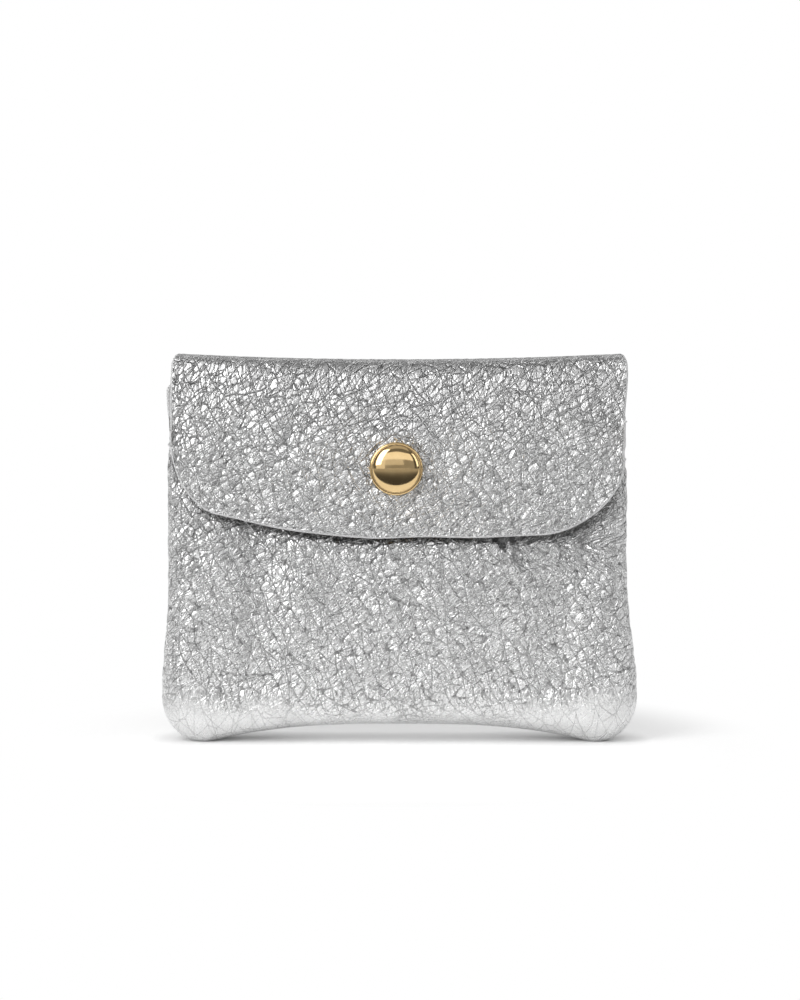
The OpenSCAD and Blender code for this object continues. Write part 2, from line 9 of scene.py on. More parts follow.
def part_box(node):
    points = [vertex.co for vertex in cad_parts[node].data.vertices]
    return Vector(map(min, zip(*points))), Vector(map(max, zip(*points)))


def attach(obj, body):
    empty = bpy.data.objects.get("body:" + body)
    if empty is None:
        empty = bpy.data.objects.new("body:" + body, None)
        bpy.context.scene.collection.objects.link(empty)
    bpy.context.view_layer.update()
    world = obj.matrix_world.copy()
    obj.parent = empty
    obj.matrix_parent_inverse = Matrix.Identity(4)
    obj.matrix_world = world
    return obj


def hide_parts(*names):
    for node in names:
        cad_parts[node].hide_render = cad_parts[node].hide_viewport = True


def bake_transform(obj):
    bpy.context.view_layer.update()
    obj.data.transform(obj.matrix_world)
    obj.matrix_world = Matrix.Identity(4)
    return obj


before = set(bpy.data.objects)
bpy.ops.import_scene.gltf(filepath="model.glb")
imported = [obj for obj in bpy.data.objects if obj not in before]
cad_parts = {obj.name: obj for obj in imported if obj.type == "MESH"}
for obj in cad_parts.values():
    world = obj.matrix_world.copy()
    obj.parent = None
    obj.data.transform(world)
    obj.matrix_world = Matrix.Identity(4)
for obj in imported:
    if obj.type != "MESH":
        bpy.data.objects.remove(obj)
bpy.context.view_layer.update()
scene = bpy.context.scene
mm = 0.001

# The purse's own sizes in millimetres, as the frame has them.
purse = {
    "bodyWide": 113.4,
    "waistWide": 109.6,
    "bodyHigh": 92.2,
    "bodyDeep": 20.2,
    "mouthDeep": 16.2,
    "leatherThick": 1.0,
    "mouthHigh": 80.5,
    "bellyHigh": 26.0,
    "sideRound": 6.0,
    "frontCrown": 0.6,
    "backCrown": 0.2,
    "footOut": 46.0,
    "archRise": 4.0,
    "cornerHigh": 10.6,
    "trayHigh": 13.0,
    "seamDepth": 11.0,
    "footFlat": 0.5,
    "flapHalf": 53.8,
    "foldHalf": 53.4,
    "foldRound": 3.6,
    "backTopDepth": 1.5,
    "frontTopDepth": 16.4,
    "foldSag": 1.4,
    "flapLow": 49.5,
    "flapDepth": 21.9,
    "flapCorner": 15.0,
    "flapBevel": 0.4,
    "topCorner": 0.8,
    "topTaper": 0.7,
    "leftCorner": (11.0, 14.0, 0.0029),
    "rightCorner": (20.0, 16.5, 0.0007),
    "flapStart": 24.0,
    "snapX": -0.8,
    "snapHigh": 65.5,
    "patchRound": 7.0,
    "gussetGap": 7.4,
    "seamGap": 0.3,
    "backY": 12.3046,
    "snapDepth": 17.959,
    "flapSnapDepth": 21.559,
    "backLeanFrom": 66.0,
    "sideOpensOver": 17.0,
    "flapFlaresOver": 14.0,
    "flapSidesBack": 1.1,
    "sideShare": 0.81,
    "cornerShare": 0.75,
    "archPower": 2.8,
    "bellyPower": 1.8,
    "trayPower": 0.77,
    "flapPower": 2.7,
}

# How the worn shell has settled: sideways moves, and the heights where they begin and how soon.
settled = {
    "sideFrom": 50.0,
    "flapLeft": 0.3,
    "flapRight": 1.3,
    "flapLow": 76.0,
    "flapOver": 13.0,
    "bodyRight": 1.1,
    "bodyLow": 8.0,
    "bodyOver": 45.0,
    "bodyHigh": 82.0,
    "bodyHighOver": 5.0,
}


def smoothStep(t):
    t = np.clip(t, 0.0, 1.0)
    return t * t * (3.0 - 2.0 * t)


def mix(a, b, t):
    return a + (b - a) * t


def bell(x, middle, spread):
    return np.exp(-(((x - middle) / spread) ** 2))


def softNoise(u, v, length, seed, waves=12):
    # A smooth random field made of a few crossing waves, about -2 to 2.
    rng = np.random.default_rng(seed)
    total = np.zeros(np.broadcast(u, v).shape)
    for k in range(waves):
        turn = rng.uniform(0.0, 2.0 * math.pi)
        rate = 2.0 * math.pi / (length * rng.uniform(0.7, 1.6))
        total += np.cos(rate * (u * math.cos(turn) + v * math.sin(turn)) + rng.uniform(0.0, 6.28))
    return total / math.sqrt(waves / 2.0)


# The purse's outline and sections, repeated from the frame.


def bottomEdge(x):
    p = purse
    a = np.abs(x)
    reach = p["bodyWide"] / 2 - p["footOut"]
    arch = (p["archRise"] + p["footFlat"]) * (1 - np.minimum(a / p["footOut"], 1.0) ** p["archPower"])
    k = np.clip((a - p["footOut"]) / reach, 0.0, 1.0)
    corner = p["cornerHigh"] * (1 - np.sqrt(1 - k * k))
    return np.where(a <= p["footOut"], arch, corner) - p["footFlat"]


def bodyHalf(z):
    rise = np.maximum(0.0, z - purse["trayHigh"]) / purse["trayHigh"]
    return mix(purse["waistWide"], purse["bodyWide"], np.exp(-(rise**2))) / 2


def bellyCurve(z):
    p = purse
    t = np.maximum(0.0, z - p["bellyHigh"]) / (p["mouthHigh"] - p["bellyHigh"])
    return p["bodyDeep"] - (p["bodyDeep"] - p["mouthDeep"]) * t ** p["bellyPower"]


def pressed(x, z):
    far = np.hypot(x - purse["snapX"], z - purse["snapHigh"])
    return 1 - smoothStep((far - purse["patchRound"]) / purse["patchRound"])


def frontDepth(x, z):
    free = bellyCurve(z) - purse["frontCrown"] * (x / (purse["waistWide"] / 2)) ** 2
    return mix(free, purse["snapDepth"], pressed(x, z))


def backLean(z):
    low, top = purse["backLeanFrom"], purse["bodyHigh"] - purse["foldRound"]
    return purse["backTopDepth"] * (np.maximum(0.0, z - low) / (top - low)) ** 2


def backDepth(x, z):
    return backLean(z) + purse["backCrown"] * (x / (purse["waistWide"] / 2)) ** 2


def sideOpening(z):
    rise = (z - purse["trayHigh"]) / purse["sideOpensOver"]
    return purse["gussetGap"] / 2 * smoothStep(rise)


def foldTop(x):
    return purse["bodyHigh"] - purse["foldSag"] * (1 - (x / purse["flapHalf"]) ** 2)


def flapHalfAt(z):
    down = (purse["bodyHigh"] - z) / purse["flapFlaresOver"]
    return mix(purse["foldHalf"], purse["flapHalf"], smoothStep(down))


def flapTopLine(x):
    turn = math.radians(purse["flapStart"])
    return foldTop(x) - purse["foldRound"] * (1 - math.sin(turn))


def flapDepthAt(x, z):
    p = purse
    turn = math.radians(p["flapStart"])
    z1 = p["bodyHigh"] - p["foldRound"] * (1 - math.sin(turn))
    u1 = p["frontTopDepth"] - p["foldRound"] * (1 - math.cos(turn))
    t = np.maximum(0.0, (z - p["flapLow"]) / (z1 - p["flapLow"]))
    free = mix(p["flapDepth"], u1, t ** p["flapPower"])
    free = free - p["flapSidesBack"] * np.abs(x / p["flapHalf"]) ** 4
    return mix(free, p["flapSnapDepth"], pressed(x, z))


# The cut edge isn't quite true: height, length and shift of its waves.
edgeWaves = ((0.15, 7.0, 0.6), (0.1, 3.7, 0.0))


def flapEdge(x):
    # The edge bows up early on the left and turns tight; the right corner is a wide arc.
    p = purse
    a = np.abs(x)
    rise = []
    for wide, tall, bow in (p["leftCorner"], p["rightCorner"]):
        k = np.clip((a - (p["flapHalf"] - wide)) / wide, 0.0, 1.0)
        rise.append(bow * a * a + tall * (1 - np.sqrt(1 - k * k)))
    wave = sum(high * np.sin(x / length + shift) for high, length, shift in edgeWaves)
    return p["flapLow"] + np.where(x < 0, rise[0], rise[1]) + wave * smoothStep((50.0 - a) / 8.0)


def sideSpread(c, half, share):
    # x across a section whose sides are rounded, with even steps along the leather.
    a = np.abs(c)
    flat = half - purse["sideRound"]
    turn = np.radians(90 * np.clip((a - share) / (1 - share), 0.0, 1.0))
    x = np.where(a <= share, a / share * flat, flat + purse["sideRound"] * np.sin(turn))
    return np.sign(c) * x, np.where(a <= share, 1.0, np.cos(turn))


def settleFlap(sheet):
    # The flap's right side is cut a little shorter than its left.
    x, z = sheet[..., 0], sheet[..., 2]
    s = settled
    low = 1 - smoothStep((z - s["flapLow"]) / s["flapOver"])
    left = s["flapLeft"] * smoothStep(-x / s["sideFrom"])
    right = s["flapRight"] * smoothStep(x / s["sideFrom"])
    return np.stack([x + (left - right) * low, sheet[..., 1], z], axis=-1)


def settleBody(sheet):
    # The body's right side leans in above the foot.
    x, z = sheet[..., 0], sheet[..., 2]
    s = settled
    rise = smoothStep((z - s["bodyLow"]) / s["bodyOver"])
    rise = rise * (1 - smoothStep((z - s["bodyHigh"]) / s["bodyHighOver"]))
    moved = x - s["bodyRight"] * smoothStep(x / s["sideFrom"]) * rise
    return np.stack([moved, sheet[..., 1], z], axis=-1)


# What the leather does on top of the plain form.

# Hollows and swells are a middle, a half width and an amount; spans are a low and a high end.
frontRelief = {
    "leftHollow": (-33.5, 5.2, 2.1),
    "rightHollow": (38.5, 6.5, 1.6),
    "hollowLow": 10.0,
    "hollowHigh": 48.0,
    "hollowLean": 0.05,
    "centreSwell": (2.0, 24.0, 0.45),
    "lumps": 0.15,
    "lumpLong": 13.0,
    "smallLumps": 0.25,
    "smallLumpLong": 6.0,
    "drawnBack": 1.8,
    "drawnOver": 3.6,
    "roll": (5.0, 2.8, 0.25),
    "puckers": 0.7,
    "puckerCount": 26,
    "puckerSpan": (-36.0, 43.0),
    "puckerHigh": (45.0, 52.5),
    "puckerTall": (2.0, 5.5),
    "puckerWide": (0.6, 1.2),
    "strongFrom": 22.0,
}
flapRelief = {
    "lumps": 0.1,
    "lumpLong": 15.0,
    "smallLumps": 0.04,
    "smallLumpLong": 7.0,
    "edgeLift": 0.3,
    "edgeWave": 0.12,
    "edgeIn": 2.0,
    "edgeWide": 3.0,
}

# Each soft crease in the flap: x, lowest and highest z, half width and depth.
flapFolds = (
    (-41.6, 63.0, 87.0, 0.8, 0.5),
    (-31.0, 80.0, 89.0, 0.7, 0.3),
    (-17.0, 78.0, 88.0, 0.8, 0.32),
    (-6.5, 68.0, 82.0, 1.2, 0.22),
    (9.0, 58.0, 84.0, 1.6, 0.25),
    (23.0, 70.0, 88.0, 1.0, 0.28),
    (33.5, 56.0, 74.0, 1.4, 0.25),
)


def frontSwell(x, z):
    r = frontRelief
    band = smoothStep((z - r["hollowLow"]) / 8.0) * (1 - smoothStep((z - r["hollowHigh"]) / 16.0))
    out = np.zeros(np.broadcast(x, z).shape)
    for middle, spread, deep in (r["leftHollow"], r["rightHollow"]):
        lean = middle + r["hollowLean"] * (z - 30.0) * np.sign(middle)
        out -= deep * bell(x, lean, spread) * band
    middle, spread, high = r["centreSwell"]
    out += high * bell(x, middle, spread) * band
    lumps = softNoise(x, z, r["lumpLong"], 4) * smoothStep((56.0 - np.abs(x)) / 6.0)
    small = softNoise(x, z, r["smallLumpLong"], 9) * smoothStep((z - 8.0) / 8.0)
    out += r["lumps"] * (lumps + r["smallLumps"] * small)
    # the panel swells a little under the flap's edge and then draws back behind it
    edge = flapEdge(x)
    inside = smoothStep((x + 47.0) / 9.0) * (1 - smoothStep((x - 43.0) / 8.0))
    below, spread, high = r["roll"]
    out += high * bell(z, edge - below, spread) * inside
    behind = smoothStep((z - edge + 2.6) / r["drawnOver"])
    out -= r["drawnBack"] * behind * (0.35 + 0.65 * inside)
    # folds that the press stud draws up under the flap's edge
    rng = np.random.default_rng(21)
    for k in range(r["puckerCount"]):
        px = rng.uniform(*r["puckerSpan"])
        pz = rng.uniform(*r["puckerHigh"])
        tall = rng.uniform(*r["puckerTall"])
        wide = rng.uniform(*r["puckerWide"])
        lean = rng.uniform(-0.7, 0.7) - px * 0.01
        strength = r["puckers"] * rng.uniform(0.35, 1.0)
        strength *= 1.7 if px > r["strongFrom"] else 0.8
        along = (x - px) - lean * (z - pz)
        out += strength * bell(along, 0.0, wide) * bell(z, pz, tall)
        out -= 0.6 * strength * bell(along, 1.9 * wide, wide) * bell(z, pz, tall)
    return out


def flapSwell(x, z):
    r = flapRelief
    inner = 1 - pressed(x, z)
    out = r["lumps"] * softNoise(x, z, r["lumpLong"], 12) * inner
    out += r["smallLumps"] * softNoise(x * 1.5, z * 0.7, r["smallLumpLong"], 13) * inner
    edge = bell(z, flapEdge(x) + r["edgeIn"], r["edgeWide"])
    out += (r["edgeLift"] + r["edgeWave"] * np.sin(x / 9.0 + 1.0)) * edge
    for middle, low, high, wide, deep in flapFolds:
        bent = middle + 0.5 * np.sin((z - low) / 5.0)
        ends = smoothStep((z - low) / 6.0) * (1 - smoothStep((z - high + 5.0) / 5.0))
        out -= deep * bell(x, bent, wide) * ends * inner
        out += 0.4 * deep * bell(x, bent + 1.9 * wide, wide) * ends * inner
    return out


def backSwell(x, z):
    out = 0.18 * softNoise(x, z, 17.0, 31) + 0.08 * softNoise(x, z, 7.0, 32)
    return out * smoothStep((56.0 - np.abs(x)) / 8.0)


# Silver grain, one set of nodes for the meshes and for the material.

grain = {
    "cell": 1.25,
    "fineCell": 0.8,
    "pores": 1.6,
    "wander": 0.5,
    "wanderLength": 6.0,
    "turn": -42.0,
    "stretch": 0.55,
    "grooveWide": 0.12,
    "domeShare": 0.32,
    "tiltShare": 0.8,
    "grooveShare": 0.42,
    "pitShare": 0.6,
    "lineShare": 0.75,
    "wireShare": 0.8,
    "creaseWide": 0.16,
    "wireWide": 0.12,
    "crackWide": 0.08,
    "depth": 0.24,
    "frontDepth": 0.4,
    "midHeight": 0.27,
    "restHeight": 1.8,
    "loose": 0.85,
    "fineTurn": 40.0,
    "fineStretch": 0.8,
    "fineWide": 0.16,
    "fineShares": (0.04, 0.2),
    "patchRate": 0.16,
    "pit": (0.69, 0.76),
    "poreTurn": 20.0,
    "pore": (0.05, 0.13),
    "poreShare": 0.5,
    "crackDrop": 0.3,
    # the width and the floors of the painted shade along the pebbles' edges, creases, pores, pits and
    # cracks
    "shadeWide": 0.07,
    "creaseShade": 0.4,
    "poreShade": 0.2,
    "edgeShade": 0.35,
    "pitShade": 0.5,
    "crackShade": 0.55,
}

# Long fine creases, raised wrinkles that catch the light, and the thin cracks of the ironed band
# along the bottom, each as turn, length and spacing.
creaseRuns = ((-36.0, 9.0, 2.2), (66.0, 9.0, 2.7))
wrinkleRuns = ((-58.0, 12.0, 2.3), (-22.0, 14.0, 3.0), (80.0, 12.0, 3.6))
crackRuns = ((-57.0, 13.0, 3.4), (61.0, 13.0, 3.2), (86.0, 12.0, 4.6))


def wire(tree, kind, inputs=None, **settings):
    node = tree.nodes.new(kind)
    for name, value in settings.items():
        setattr(node, name, value)
    for name, value in (inputs or {}).items():
        if isinstance(value, bpy.types.NodeSocket):
            tree.links.new(value, node.inputs[name])
        else:
            node.inputs[name].default_value = value
    return node


def maths(tree, operation, a, b=0.0, c=0.0, clamp=False):
    return wire(
        tree, "ShaderNodeMath", {0: a, 1: b, 2: c}, operation=operation, use_clamp=clamp
    ).outputs[0]


def ramp(tree, value, low, high, start=0.0, end=1.0):
    return wire(
        tree,
        "ShaderNodeMapRange",
        {"Value": value, "From Min": low, "From Max": high, "To Min": start, "To Max": end},
        interpolation_type="SMOOTHSTEP",
    ).outputs["Result"]


def vectorMath(tree, operation, a, b=(0.0, 0.0, 0.0)):
    second = "Scale" if operation == "SCALE" else 1
    done = wire(tree, "ShaderNodeVectorMath", {0: a, second: b}, operation=operation)
    return done.outputs["Value" if operation in ("DOT_PRODUCT", "LENGTH") else "Vector"]


def turned(tree, place, degrees, scale):
    spun = wire(
        tree,
        "ShaderNodeVectorRotate",
        {"Vector": place, "Angle": math.radians(degrees)},
        rotation_type="Z_AXIS",
    ).outputs[0]
    return vectorMath(tree, "MULTIPLY", spun, scale)


def voronoi(tree, place, feature, loose):
    return wire(
        tree,
        "ShaderNodeTexVoronoi",
        {"Vector": place, "Scale": 1.0, "Randomness": loose},
        voronoi_dimensions="2D",
        feature=feature,
    ).outputs


def cells(tree, place, feature, loose=1.0):
    return voronoi(tree, place, feature, loose)["Distance"]


def tiltedCells(tree, place, loose):
    # How far each point is from its cell's middle, and a plane that leans its own way per cell.
    found = voronoi(tree, place, "F1", loose)
    away = vectorMath(tree, "SUBTRACT", place, found["Position"])
    lean = vectorMath(tree, "SUBTRACT", found["Color"], (0.5, 0.5, 0.5))
    flat = vectorMath(tree, "MULTIPLY", lean, (1.0, 1.0, 0.0))
    return found["Distance"], vectorMath(tree, "DOT_PRODUCT", away, flat)


def cloud(tree, place, scale, detail=2.0, colour=False):
    node = wire(
        tree,
        "ShaderNodeTexNoise",
        {"Vector": place, "Scale": scale, "Detail": detail},
        noise_dimensions="2D",
    )
    return node.outputs["Color"] if colour else node.outputs[0]


def rounded(tree, value, reach):
    # 0 in the groove, rising steeply at first and then rounding off to 1
    left = maths(tree, "SUBTRACT", 1.0, maths(tree, "DIVIDE", value, reach, clamp=True))
    return maths(tree, "SUBTRACT", 1.0, maths(tree, "MULTIPLY", left, left))


def lineRuns(tree, place, runs, wide):
    # 0 on thin straight lines, the edges of long narrow cells, and 1 between them
    clear = 1.0
    for degrees, length, across in runs:
        drawn = turned(tree, place, degrees, (1.0 / length, 1.0 / across, 1.0))
        level = cells(tree, drawn, "DISTANCE_TO_EDGE")
        clear = maths(tree, "MULTIPLY", clear, rounded(tree, level, wide / across))
    return clear


def weighted(tree, parts, total=0.0):
    # Adds up values, each times its share.
    for value, share in parts:
        total = maths(tree, "MULTIPLY_ADD", value, share, total)
    return total


def fadedTo(tree, value, strong, rest):
    return maths(tree, "MULTIPLY_ADD", maths(tree, "SUBTRACT", value, rest), strong, rest)


def lifted(tree, value, low):
    # Squeezes 0 to 1 into low to 1.
    return maths(tree, "MULTIPLY_ADD", value, 1.0 - low, low)


def pebbles(tree, place):
    # place runs over the leather in millimetres, and its third part is how strong the grain is
    g = grain
    strong = wire(tree, "ShaderNodeSeparateXYZ", {0: place}).outputs[2]
    drift = cloud(tree, place, 1.0 / g["wanderLength"], 1.0, True)
    drift = vectorMath(tree, "SUBTRACT", drift, (0.5, 0.5, 0.5))
    drift = vectorMath(tree, "SCALE", drift, g["wander"] * 2.0)
    bent = vectorMath(tree, "ADD", place, drift)
    size = 1.0 / g["cell"]
    laidOut = turned(tree, bent, g["turn"], (size * g["stretch"], size, 1.0))
    edge = cells(tree, laidOut, "DISTANCE_TO_EDGE", g["loose"])
    middle, tilt = tiltedCells(tree, laidOut, g["loose"])
    size = 1.0 / g["fineCell"]
    laidOut = turned(tree, bent, g["fineTurn"], (size, size * g["fineStretch"], 1.0))
    fineGroove = rounded(tree, cells(tree, laidOut, "DISTANCE_TO_EDGE"), g["fineWide"])
    size = 1.0 / g["pores"]
    pore = cells(tree, turned(tree, bent, g["poreTurn"], (size, size, 1.0)), "F1")
    pore = ramp(tree, pore, *g["pore"])
    dome = maths(tree, "SUBTRACT", 1.0, maths(tree, "MULTIPLY", middle, middle))
    groove = rounded(tree, edge, g["grooveWide"])
    pit = ramp(tree, middle, *g["pit"])
    crease = lineRuns(tree, bent, creaseRuns, g["creaseWide"])
    # raised wrinkles: they lift the height, and the material also paints them lighter as a painted
    # highlight
    wireAndHighlight = maths(tree, "SUBTRACT", 1.0, lineRuns(tree, bent, wrinkleRuns, g["wireWide"]))
    # the fine grooves come and go in patches
    patch = ramp(tree, cloud(tree, place, g["patchRate"], 1.0), 0.35, 0.65)
    least, most = g["fineShares"]
    weak = maths(tree, "MULTIPLY_ADD", patch, most - least, least)
    soft = weighted(tree, ((dome, g["domeShare"]), (tilt, g["tiltShare"])))
    shares = (
        (groove, g["grooveShare"]),
        (fineGroove, weak),
        (pit, -g["pitShare"]),
        (crease, g["lineShare"]),
        (wireAndHighlight, g["wireShare"]),
        (pore, g["poreShare"]),
    )
    height = fadedTo(tree, weighted(tree, shares, soft), strong, g["restHeight"])
    soft = fadedTo(tree, soft, strong, g["midHeight"])
    # the ironed band along the bottom only has thin cracks far apart
    crack = lineRuns(tree, place, crackRuns, g["crackWide"])
    plain = maths(tree, "SUBTRACT", 1.0, strong, clamp=True)
    drop = maths(tree, "SUBTRACT", crack, 1.0)
    height = weighted(tree, ((maths(tree, "MULTIPLY", drop, g["crackDrop"]), plain),), height)
    # painted shade: the colour darkens along the creases, in the pores, along the pebbles' edges, in the
    # pits and in the cracks of the bottom band, where real shade would fall
    shade = lifted(tree, crease, g["creaseShade"])
    darker = (
        lifted(tree, pore, g["poreShade"]),
        lifted(tree, rounded(tree, edge, g["shadeWide"]), g["edgeShade"]),
        maths(tree, "MULTIPLY_ADD", pit, -g["pitShade"], 1.0),
    )
    for level in darker:
        shade = maths(tree, "MULTIPLY", shade, level)
    shade = fadedTo(tree, shade, strong, 1.0)
    cracked = maths(tree, "MULTIPLY_ADD", drop, plain, 1.0)
    shade = maths(tree, "MULTIPLY", shade, lifted(tree, cracked, g["crackShade"]))
    # hands back the soft height, the full height, the painted shade, and the raised wrinkles for a painted
    # highlight in the colour
    return soft, height, shade, maths(tree, "MULTIPLY", wireAndHighlight, strong)


def grainOn(mapPoints):
    # The pebbles' soft part at points of a mesh; the material adds the creases between them.
    points = bpy.data.meshes.new("grainPoints")
    points.vertices.add(len(mapPoints))
    laid = points.attributes.new("leatherMap", "FLOAT_VECTOR", "POINT")
    laid.data.foreach_set("vector", np.ascontiguousarray(mapPoints, np.float32).ravel())
    holder = bpy.data.objects.new("grainPoints", points)
    scene.collection.objects.link(holder)
    tree = bpy.data.node_groups.new("grainPoints", "GeometryNodeTree")
    tree.interface.new_socket(name="Geometry", in_out="INPUT", socket_type="NodeSocketGeometry")
    tree.interface.new_socket(name="Geometry", in_out="OUTPUT", socket_type="NodeSocketGeometry")
    start = tree.nodes.new("NodeGroupInput")
    end = tree.nodes.new("NodeGroupOutput")
    place = wire(
        tree, "GeometryNodeInputNamedAttribute", {"Name": "leatherMap"}, data_type="FLOAT_VECTOR"
    ).outputs["Attribute"]
    soft = pebbles(tree, place)[0]
    stored = wire(
        tree,
        "GeometryNodeStoreNamedAttribute",
        {"Geometry": start.outputs[0], "Name": "height", "Value": soft},
        data_type="FLOAT",
        domain="POINT",
    )
    tree.links.new(stored.outputs[0], end.inputs[0])
    holder.modifiers.new("grain", "NODES").node_group = tree
    bpy.context.view_layer.update()
    done = holder.evaluated_get(bpy.context.evaluated_depsgraph_get()).data
    heights = np.zeros(len(mapPoints), np.float32)
    done.attributes["height"].data.foreach_get("value", heights)
    bpy.data.objects.remove(holder)
    bpy.data.meshes.remove(points)
    bpy.data.node_groups.remove(tree)
    return heights


# Materials.


def clearTree(owner):
    owner.use_nodes = True
    owner.node_tree.nodes.clear()
    return owner.node_tree


def addOutput(tree, kind, shader):
    wire(tree, kind, {"Surface": shader.outputs[0]})


def newMaterial(name):
    material = bpy.data.materials.new(name)
    tree = clearTree(material)
    shader = tree.nodes.new("ShaderNodeBsdfPrincipled")
    addOutput(tree, "ShaderNodeOutputMaterial", shader)
    return material, tree, shader


def addBump(tree, shader, height, distance, strength=1.0):
    inputs = {"Height": height, "Distance": distance, "Strength": strength}
    bump = wire(tree, "ShaderNodeBump", inputs)
    tree.links.new(bump.outputs[0], shader.inputs["Normal"])


def blendColour(tree, factor, a, b):
    node = tree.nodes.new("ShaderNodeMix")
    node.data_type = "RGBA"
    for socket, value in ((node.inputs[0], factor), (node.inputs[6], a), (node.inputs[7], b)):
        if isinstance(value, bpy.types.NodeSocket):
            tree.links.new(value, socket)
        else:
            socket.default_value = value
    return node.outputs[2]


def grey(level, warm=0.0):
    return (level + warm, level, level - warm, 1.0)


def alongLeather(tree):
    return wire(tree, "ShaderNodeAttribute", attribute_name="leatherMap").outputs["Vector"]


def facingFront(tree):
    # x and z of the piece in millimetres, for flat pieces that face the front
    place = wire(tree, "ShaderNodeTexCoord").outputs["Object"]
    parts = wire(tree, "ShaderNodeSeparateXYZ", {0: place}).outputs
    flat = wire(tree, "ShaderNodeCombineXYZ", {0: parts[0], 1: parts[2], 2: parts[1]}).outputs[0]
    return vectorMath(tree, "SCALE", flat, 1 / mm)


# The foil's tones. The groove tone is painted shade in the grooves, creases, pits, pores and cracks; the
# lightest tone is a painted highlight on the raised wrinkles.
foilLook = {
    "fresh": 0.84,
    "rubbed": 0.74,
    "speck": 0.66,
    "groove": 0.24,
    "wireAndHighlight": 0.95,
    "rough": 0.15,
    "bump": 0.00023,
}


def silverLeather():
    look = foilLook
    material, tree, shader = newMaterial("silverLeather")
    place = alongLeather(tree)
    soft, height, shade, wireAndHighlight = pebbles(tree, place)
    speck = cloud(tree, place, 3.4, 3.0)
    tiny = cloud(tree, place, 9.0, 2.0)
    worn = ramp(tree, cloud(tree, place, 0.09, 2.0), 0.35, 0.68)
    foil = blendColour(tree, worn, grey(look["fresh"]), grey(look["rubbed"]))
    foil = blendColour(tree, ramp(tree, speck, 0.45, 0.75), foil, grey(look["speck"]))
    # the raised wrinkles are painted a lighter foil: a painted highlight
    foil = blendColour(tree, wireAndHighlight, foil, grey(look["wireAndHighlight"]))
    # grooves, creases, pits, pores and cracks take the dark groove tone: painted shade
    colour = blendColour(tree, shade, grey(look["groove"]), foil)
    tree.links.new(colour, shader.inputs["Base Color"])
    rough = maths(tree, "MULTIPLY_ADD", speck, 0.2, look["rough"])
    rough = maths(tree, "MULTIPLY_ADD", maths(tree, "SUBTRACT", 1.0, shade), 0.2, rough)
    tree.links.new(rough, shader.inputs["Roughness"])
    shader.inputs["Metallic"].default_value = 1.0
    fine = maths(tree, "MULTIPLY_ADD", tiny, 0.1, maths(tree, "MULTIPLY", speck, 0.16))
    addBump(tree, shader, maths(tree, "ADD", height, fine), look["bump"])
    return material


def suedeSide(name, placing):
    material, tree, shader = newMaterial(name)
    place = placing(tree)
    nap = cloud(tree, place, 1.6, 4.0)
    broad = cloud(tree, place, 0.12, 2.0)
    colour = blendColour(tree, ramp(tree, nap, 0.3, 0.7), grey(0.4, 0.012), grey(0.56, 0.014))
    colour = blendColour(tree, ramp(tree, broad, 0.3, 0.7), colour, grey(0.5, 0.013))
    tree.links.new(colour, shader.inputs["Base Color"])
    shader.inputs["Roughness"].default_value = 0.92
    shader.inputs["Sheen Weight"].default_value = 0.35
    shader.inputs["Sheen Roughness"].default_value = 0.5
    addBump(tree, shader, nap, 0.00025, 0.7)
    return material


def cutEdge():
    material, tree, shader = newMaterial("cutEdge")
    place = wire(tree, "ShaderNodeTexCoord").outputs["Object"]
    fibre = wire(tree, "ShaderNodeTexNoise", {"Vector": place, "Scale": 2600.0, "Detail": 3.0})
    colour = blendColour(tree, ramp(tree, fibre.outputs[0], 0.3, 0.7), grey(0.66), grey(0.86))
    tree.links.new(colour, shader.inputs["Base Color"])
    shader.inputs["Roughness"].default_value = 0.6
    shader.inputs["Metallic"].default_value = 0.5
    addBump(tree, shader, fibre.outputs[0], 0.0002)
    return material


def goldPlate():
    material, tree, shader = newMaterial("goldPlate")
    place = wire(tree, "ShaderNodeTexCoord").outputs["Object"]
    haze = wire(tree, "ShaderNodeTexNoise", {"Vector": place, "Scale": 420.0, "Detail": 4.0})
    tone = ramp(tree, haze.outputs[0], 0.3, 0.7)
    colour = blendColour(tree, tone, (0.76, 0.54, 0.27, 1.0), (0.82, 0.6, 0.31, 1.0))
    tree.links.new(colour, shader.inputs["Base Color"])
    tree.links.new(ramp(tree, haze.outputs[0], 0.3, 0.8, 0.07, 0.13), shader.inputs["Roughness"])
    shader.inputs["Metallic"].default_value = 1.0
    return material


def zipCloth():
    # A herringbone: the ribs of one band lean left and the next lean right.
    material, tree, shader = newMaterial("zipCloth")
    place = facingFront(tree)
    parts = wire(tree, "ShaderNodeSeparateXYZ", {0: place}).outputs
    band = maths(tree, "PINGPONG", parts[0], 1.2)
    lean = maths(tree, "ADD", band, parts[1])
    rib = maths(tree, "SINE", maths(tree, "MULTIPLY", lean, 11.0))
    rib = ramp(tree, rib, -1.0, 1.0)
    fuzz = cloud(tree, place, 5.0, 3.0)
    colour = blendColour(tree, rib, grey(0.24), grey(0.46, 0.004))
    colour = blendColour(tree, ramp(tree, fuzz, 0.35, 0.75), colour, grey(0.4))
    tree.links.new(colour, shader.inputs["Base Color"])
    shader.inputs["Roughness"].default_value = 0.8
    shader.inputs["Sheen Weight"].default_value = 0.2
    addBump(tree, shader, rib, 0.00012)
    return material


def twistedThread():
    material, tree, shader = newMaterial("twistedThread")
    place = facingFront(tree)
    parts = wire(tree, "ShaderNodeSeparateXYZ", {0: place}).outputs
    lean = maths(tree, "MULTIPLY_ADD", parts[1], 1.5, parts[0])
    ply = ramp(tree, maths(tree, "SINE", maths(tree, "MULTIPLY", lean, 15.0)), -1.0, 1.0)
    tree.links.new(blendColour(tree, ply, grey(0.42), grey(0.7)), shader.inputs["Base Color"])
    shader.inputs["Roughness"].default_value = 0.6
    addBump(tree, shader, ply, 0.00008)
    return material


